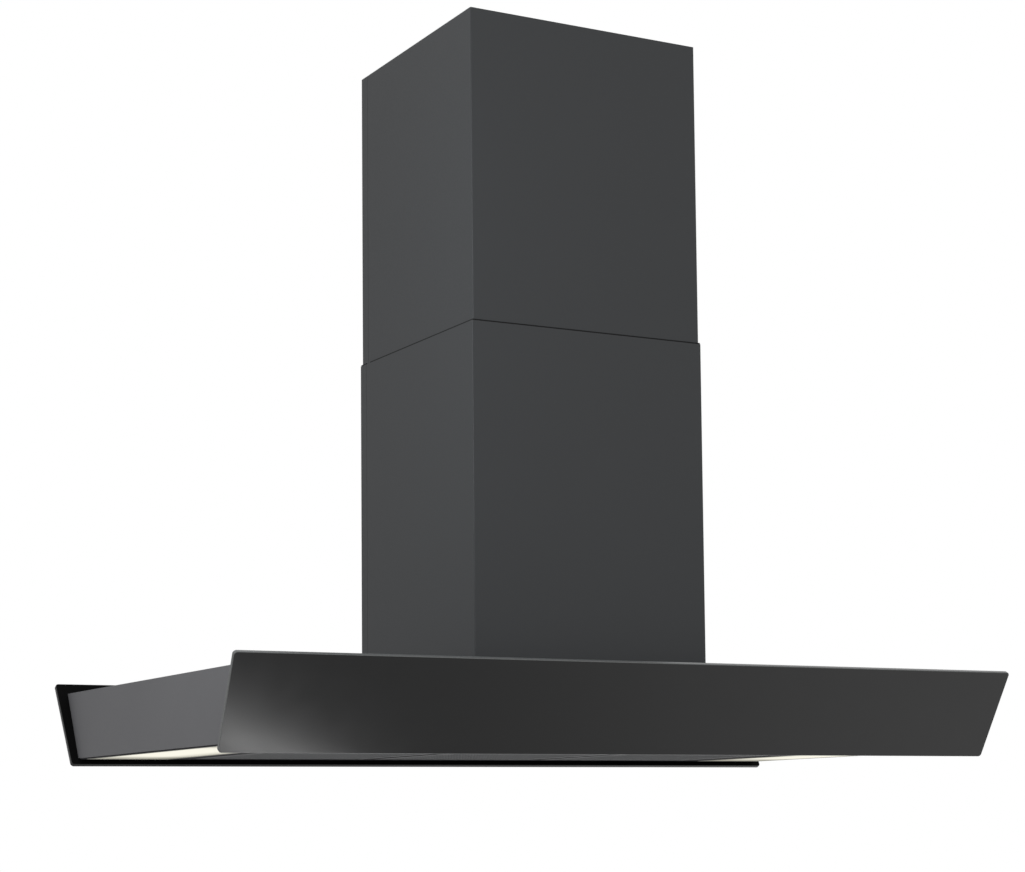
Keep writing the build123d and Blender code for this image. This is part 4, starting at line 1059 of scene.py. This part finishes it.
class HOOD_OT_latch_ribs(Operator):
    """Model the grip ribs on the filter latches' pads."""

    bl_idname = "hood.latch_ribs"
    bl_label = "Latch grip ribs"

    def execute(self, context):
        details = context.scene.hood_detail
        nylon = moulded_plastic("glass-filled nylon, grey, ribbed", linear("#3a3a3c"), 0.45, 0.6)
        low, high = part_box("filter_latch_1")
        middle = (low.x + high.x) / 2
        first = middle - (details.rib_count - 1) / 2 * details.rib_pitch
        pad_y = pad_middle(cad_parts["filter_latch_1"].data)
        rib = block(details.rib_size, (first, pad_y, low.z + details.rib_middle))
        apply_modifier(rib, "BEVEL", width=details.rib_rounding, segments=3, limit_method="NONE")
        ribs = [rib]
        for index in range(1, details.rib_count):
            ribs.append(copied(rib, "rib", (index * details.rib_pitch, 0, 0)))
        grip = join(ribs, "filter_latch_1_ribs")
        smooth([grip], angle=40.0)
        for number in (1, 2, 3):
            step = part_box(f"filter_latch_{number}")[0].x - low.x
            name = f"filter_latch_{number}_ribs"
            piece = grip if number == 1 else copied(grip, name, (step, 0, 0))
            hand_over(piece, f"latch_{number}", nylon)
        return {"FINISHED"}


def pad_middle(mesh):
    """Middle, along Y, of a latch's pad, the widest stretch of its mesh."""
    reach = max(vertex.co.x for vertex in mesh.vertices)
    edge = [vertex.co.y for vertex in mesh.vertices if vertex.co.x > reach - SAME_PLACE]
    return (min(edge) + max(edge)) / 2


class HOOD_OT_cover_screws(Operator):
    """Model the chimney's pan-head screws with their cross recesses."""

    bl_idname = "hood.cover_screws"
    bl_label = "Chimney screws"

    def execute(self, context):
        details = context.scene.hood_detail
        finish = powder_coat("gloss powder coat, anthracite", linear("#38393b"), 0.3, 0.8)
        start, length = screw_line("upper_chimney_screws", -1, details)
        first = cross_screw(start, length, details)
        bodies = {"upper_chimney_screws": "upper_chimney", "lower_chimney_screws": "hood"}
        for node, body in bodies.items():
            pair = []
            for side in (-1, 1):
                head = screw_line(node, side, details)[0]
                pair.append(copied(first, "screw", head - start))
            piece = join(pair, f"{node}_crossed")
            hand_over(piece, body, finish)
            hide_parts(node)
        bpy.data.objects.remove(first)
        return {"FINISHED"}


def screw_line(node, side, details):
    """The middle of a screw's head, and how long the screw is from there to its tip."""
    low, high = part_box(node)
    reach = high.x - details.screw_head_radius
    return Vector((side * reach, high.y, (low.z + high.z) / 2)), high.y - low.y


def turned_pin(place, radius, depth, vertices, rounded, offset, segments):
    """A cylinder along Y with one end rounded: rounded is 1 for the end at high Y, or -1."""
    bpy.ops.object.select_all(action="DESELECT")
    bpy.ops.mesh.primitive_cylinder_add(
        vertices=vertices,
        radius=radius,
        depth=depth,
        location=place,
        rotation=(math.radians(90), 0, 0),
    )
    pin = bpy.context.active_object
    settle(pin)
    end = place.y + rounded * depth / 2
    bpy.ops.object.mode_set(mode="EDIT")
    bpy.ops.mesh.select_all(action="DESELECT")
    shape = bmesh.from_edit_mesh(pin.data)
    for edge in shape.edges:
        edge.select_set(all(abs(vertex.co.y - end) < SAME_PLACE for vertex in edge.verts))
    bmesh.update_edit_mesh(pin.data)
    bpy.ops.mesh.bevel(offset=offset, segments=segments, profile=0.5)
    bpy.ops.object.mode_set(mode="OBJECT")
    return pin


def cross_screw(face, length, details):
    """One pan-head screw with a cross recess, whose head ends at face and points along -Y."""
    height = details.screw_head_height
    radius = details.screw_head_radius
    head_middle = face - Vector((0, height / 2, 0))
    dome = height * 0.55
    head = turned_pin(head_middle, radius, height, 32, rounded=1, offset=dome, segments=4)
    # two cuts make the cross, each a little over half the head across
    wing = radius * 1.1
    cut(head, block((wing, height, details.recess_width), face))
    cut(head, block((details.recess_width, height, wing), face))
    stem = length - height
    shank_middle = face - Vector((0, height + stem / 2, 0))
    tip = details.screw_radius * 0.4
    shank = turned_pin(
        shank_middle, details.screw_radius, stem, 24, rounded=-1, offset=tip, segments=1
    )
    screw = join([head, shank], "cross_screw")
    smooth([screw])
    return screw


# -------- operators: stage


def seen_rays(tree):
    """The light path's outputs, and a share that is 1 for rays from the camera or a mirror."""
    path = add_node(tree, "ShaderNodeLightPath").outputs
    seen = add_node(
        tree,
        "ShaderNodeMath",
        {0: path["Is Camera Ray"], 1: path["Is Glossy Ray"]},
        operation="MAXIMUM",
    )
    return path, seen


def floor_finish():
    """Pale floor, painted matt: mostly plain white to the eye, with enough of its own diffuse
    surface left in for shadows to fall on it. Mirrored, it is greyer at the left than at the
    right, as a room is away from its window."""
    material, tree, place = new_material("pale floor, matt")
    path, seen = seen_rays(tree)
    matt = add_node(
        tree, "ShaderNodeBsdfDiffuse", {"Color": shade(linear("#ececea")), "Roughness": 0.5}
    )
    axes = add_node(tree, "ShaderNodeSeparateXYZ", {"Vector": place}).outputs
    mirrored = add_node(
        tree,
        "ShaderNodeMapRange",
        {"Value": axes["X"], "From Min": 0.2, "From Max": 2.0, "To Min": 0.44, "To Max": 1.2},
        interpolation_type="SMOOTHSTEP",
    )
    strength = add_node(
        tree, "ShaderNodeMix", {"Factor": path["Is Glossy Ray"], "A": 1.0, "B": mirrored}
    )
    white = add_node(tree, "ShaderNodeEmission", {"Strength": strength})
    share = add_node(tree, "ShaderNodeMath", {0: seen, 1: 0.8}, operation="MULTIPLY")
    floor = add_node(tree, "ShaderNodeMixShader", {0: share, 1: matt, 2: white})
    add_node(tree, "ShaderNodeOutputMaterial", {"Surface": floor})
    return material


FLOOR_SIZE = 16.0
WHITE = (1.0, 1.0, 1.0)
# soft lights: name, place, the point it is aimed at, width and height, colour. The glow brightens
# the front glass's lower left corner, the strip the chimney's left front corner.
LAMPS = (
    ("key", (-2.3, -1.9, -0.15), (0, -0.1, -0.45), (1.6, 1.6), WHITE),
    ("fill", (0.9, -3.2, 0.3), (0, 0, -0.4), (2.0, 2.0), WHITE),
    ("glow", (-0.38, -0.33, -1.0), (-0.43, -0.245, -0.87), (0.29, 0.02), WHITE),
    ("strip", (-0.62, -0.33, -0.27), (-0.153, -0.15, -0.31), (0.08, 0.56), (0.92, 0.96, 1.0)),
)
# grey cards behind the hood for its surfaces to mirror: name, place, width and height, level
FLAGS = (
    ("rear_flag", (0.6, 4.0, -1.75), (11.0, 1.5), 0.25),
    ("left_flag", (-2.6, 4.2, 0.6), (4.0, 3.0), 0.48),
)


class HOOD_OT_stage(Operator):
    """Set the floor, the sky, the lamps and the camera."""

    bl_idname = "hood.stage"
    bl_label = "Stage"

    def execute(self, context):
        settings = context.scene.hood_stage
        bpy.ops.object.select_all(action="DESELECT")
        bpy.ops.mesh.primitive_plane_add(size=FLOOR_SIZE, location=(0, 0, -settings.floor_depth))
        floor = context.active_object
        floor.name = "floor"
        floor.data.materials.append(floor_finish())
        self.sky(context.scene)
        for name, place, target, size, colour in LAMPS:
            self.lamp(name, place, target, size, colour, getattr(settings, f"{name}_power"))
        for name, place, size, level in FLAGS:
            self.flag(name, place, size, level)
        self.camera(context.scene, settings)
        context.scene.view_settings.view_transform = "Standard"
        return {"FINISHED"}

    def sky(self, scene):
        """White where it is seen, directly, mirrored or through glass; a soft grey as light."""
        world = bpy.data.worlds.new("studio")
        world.use_nodes = True
        tree = world.node_tree
        tree.nodes.clear()
        path, seen = seen_rays(tree)
        shown = add_node(
            tree,
            "ShaderNodeMath",
            {0: seen, 1: path["Is Transmission Ray"]},
            operation="MAXIMUM",
        )
        strength = add_node(
            tree, "ShaderNodeMapRange", {"Value": shown, "To Min": 0.43, "To Max": 1.0}
        )
        light = add_node(
            tree, "ShaderNodeBackground", {"Color": (1.0, 1.0, 1.0, 1.0), "Strength": strength}
        )
        add_node(tree, "ShaderNodeOutputWorld", {"Surface": light})
        scene.world = world

    def lamp(self, name, place, target, size, colour, power):
        """A soft rectangular light aimed at a point."""
        bpy.ops.object.select_all(action="DESELECT")
        aim = Vector(target) - Vector(place)
        bpy.ops.object.light_add(
            type="AREA", location=place, rotation=aim.to_track_quat("-Z", "Y").to_euler()
        )
        lamp = bpy.context.active_object
        lamp.name = f"{name}_light"
        lamp.data.name = lamp.name
        lamp.data.shape = "RECTANGLE"
        lamp.data.size, lamp.data.size_y = size
        lamp.data.color = colour
        lamp.data.energy = power

    def flag(self, name, place, size, level):
        """An upright grey card that only mirrored rays see."""
        bpy.ops.object.select_all(action="DESELECT")
        bpy.ops.mesh.primitive_plane_add(
            size=1.0, location=place, rotation=(math.radians(90), 0, 0)
        )
        card = bpy.context.active_object
        card.name = name
        card.scale = (size[0], size[1], 1.0)
        settle(card)
        material, tree, _ = new_material(f"{name}, grey card")
        grey = add_node(tree, "ShaderNodeEmission", {"Color": (level, level, level, 1.0)})
        add_node(tree, "ShaderNodeOutputMaterial", {"Surface": grey})
        card.data.materials.append(material)
        card.visible_camera = False
        card.visible_diffuse = False
        card.visible_shadow = False
        card.visible_transmission = False

    def camera(self, scene, settings):
        """Camera below the canopy's edge, off the left front corner."""
        heading, rise, roll = settings.camera_heading, settings.camera_rise, settings.camera_roll
        level = math.cos(rise)
        ahead = Vector((math.sin(heading) * level, math.cos(heading) * level, math.sin(rise)))
        right = Vector((math.cos(heading), -math.sin(heading), 0))
        up = right.cross(ahead)
        rolled_right = math.cos(roll) * right - math.sin(roll) * up
        rolled_up = math.sin(roll) * right + math.cos(roll) * up
        turn = Matrix((rolled_right, rolled_up, -ahead)).transposed()
        bpy.ops.object.select_all(action="DESELECT")
        bpy.ops.object.camera_add(location=settings.camera_place, rotation=turn.to_euler())
        camera = bpy.context.active_object
        camera.name = "camera"
        camera.data.sensor_width = 36.0
        camera.data.lens = settings.focal_length
        camera.data.shift_x = settings.lens_side
        camera.data.shift_y = settings.lens_rise
        scene.camera = camera


# -------- panel and registration

STEPS = (
    HOOD_OT_chimney,
    HOOD_OT_canopy,
    HOOD_OT_underside,
    HOOD_OT_lamps,
    HOOD_OT_mast,
    HOOD_OT_blower,
    HOOD_OT_electrics,
    HOOD_OT_filters,
    HOOD_OT_lamp_gaskets,
    HOOD_OT_seam_shadow_strip,
    HOOD_OT_latch_ribs,
    HOOD_OT_cover_screws,
    HOOD_OT_stage,
)


class HOOD_PT_dress(Panel):
    """Lists the steps that dress the hood, and its settings."""

    bl_label = "Range hood"
    bl_idname = "HOOD_PT_dress"
    bl_space_type = "VIEW_3D"
    bl_region_type = "UI"
    bl_category = "Range Hood"

    def draw(self, context):
        layout = self.layout
        for settings in (
            context.scene.hood_finish,
            context.scene.hood_detail,
            context.scene.hood_stage,
        ):
            column = layout.column()
            for name in settings.bl_rna.properties.keys():
                if name not in {"rna_type", "name"}:
                    column.prop(settings, name)
        for step in STEPS:
            layout.operator(step.bl_idname)


CLASSES = (HoodFinishSettings, HoodDetailSettings, HoodStageSettings, *STEPS, HOOD_PT_dress)


def register():
    for cls in CLASSES:
        bpy.utils.register_class(cls)
    bpy.types.Scene.hood_finish = PointerProperty(type=HoodFinishSettings)
    bpy.types.Scene.hood_detail = PointerProperty(type=HoodDetailSettings)
    bpy.types.Scene.hood_stage = PointerProperty(type=HoodStageSettings)


def unregister():
    del bpy.types.Scene.hood_stage
    del bpy.types.Scene.hood_detail
    del bpy.types.Scene.hood_finish
    for cls in reversed(CLASSES):
        bpy.utils.unregister_class(cls)


def main():
    """Dress the hood."""
    register()
    for step in STEPS:
        group, name = step.bl_idname.split(".")
        getattr(getattr(bpy.ops, group), name)()


if __name__ == "__main__":
    main()
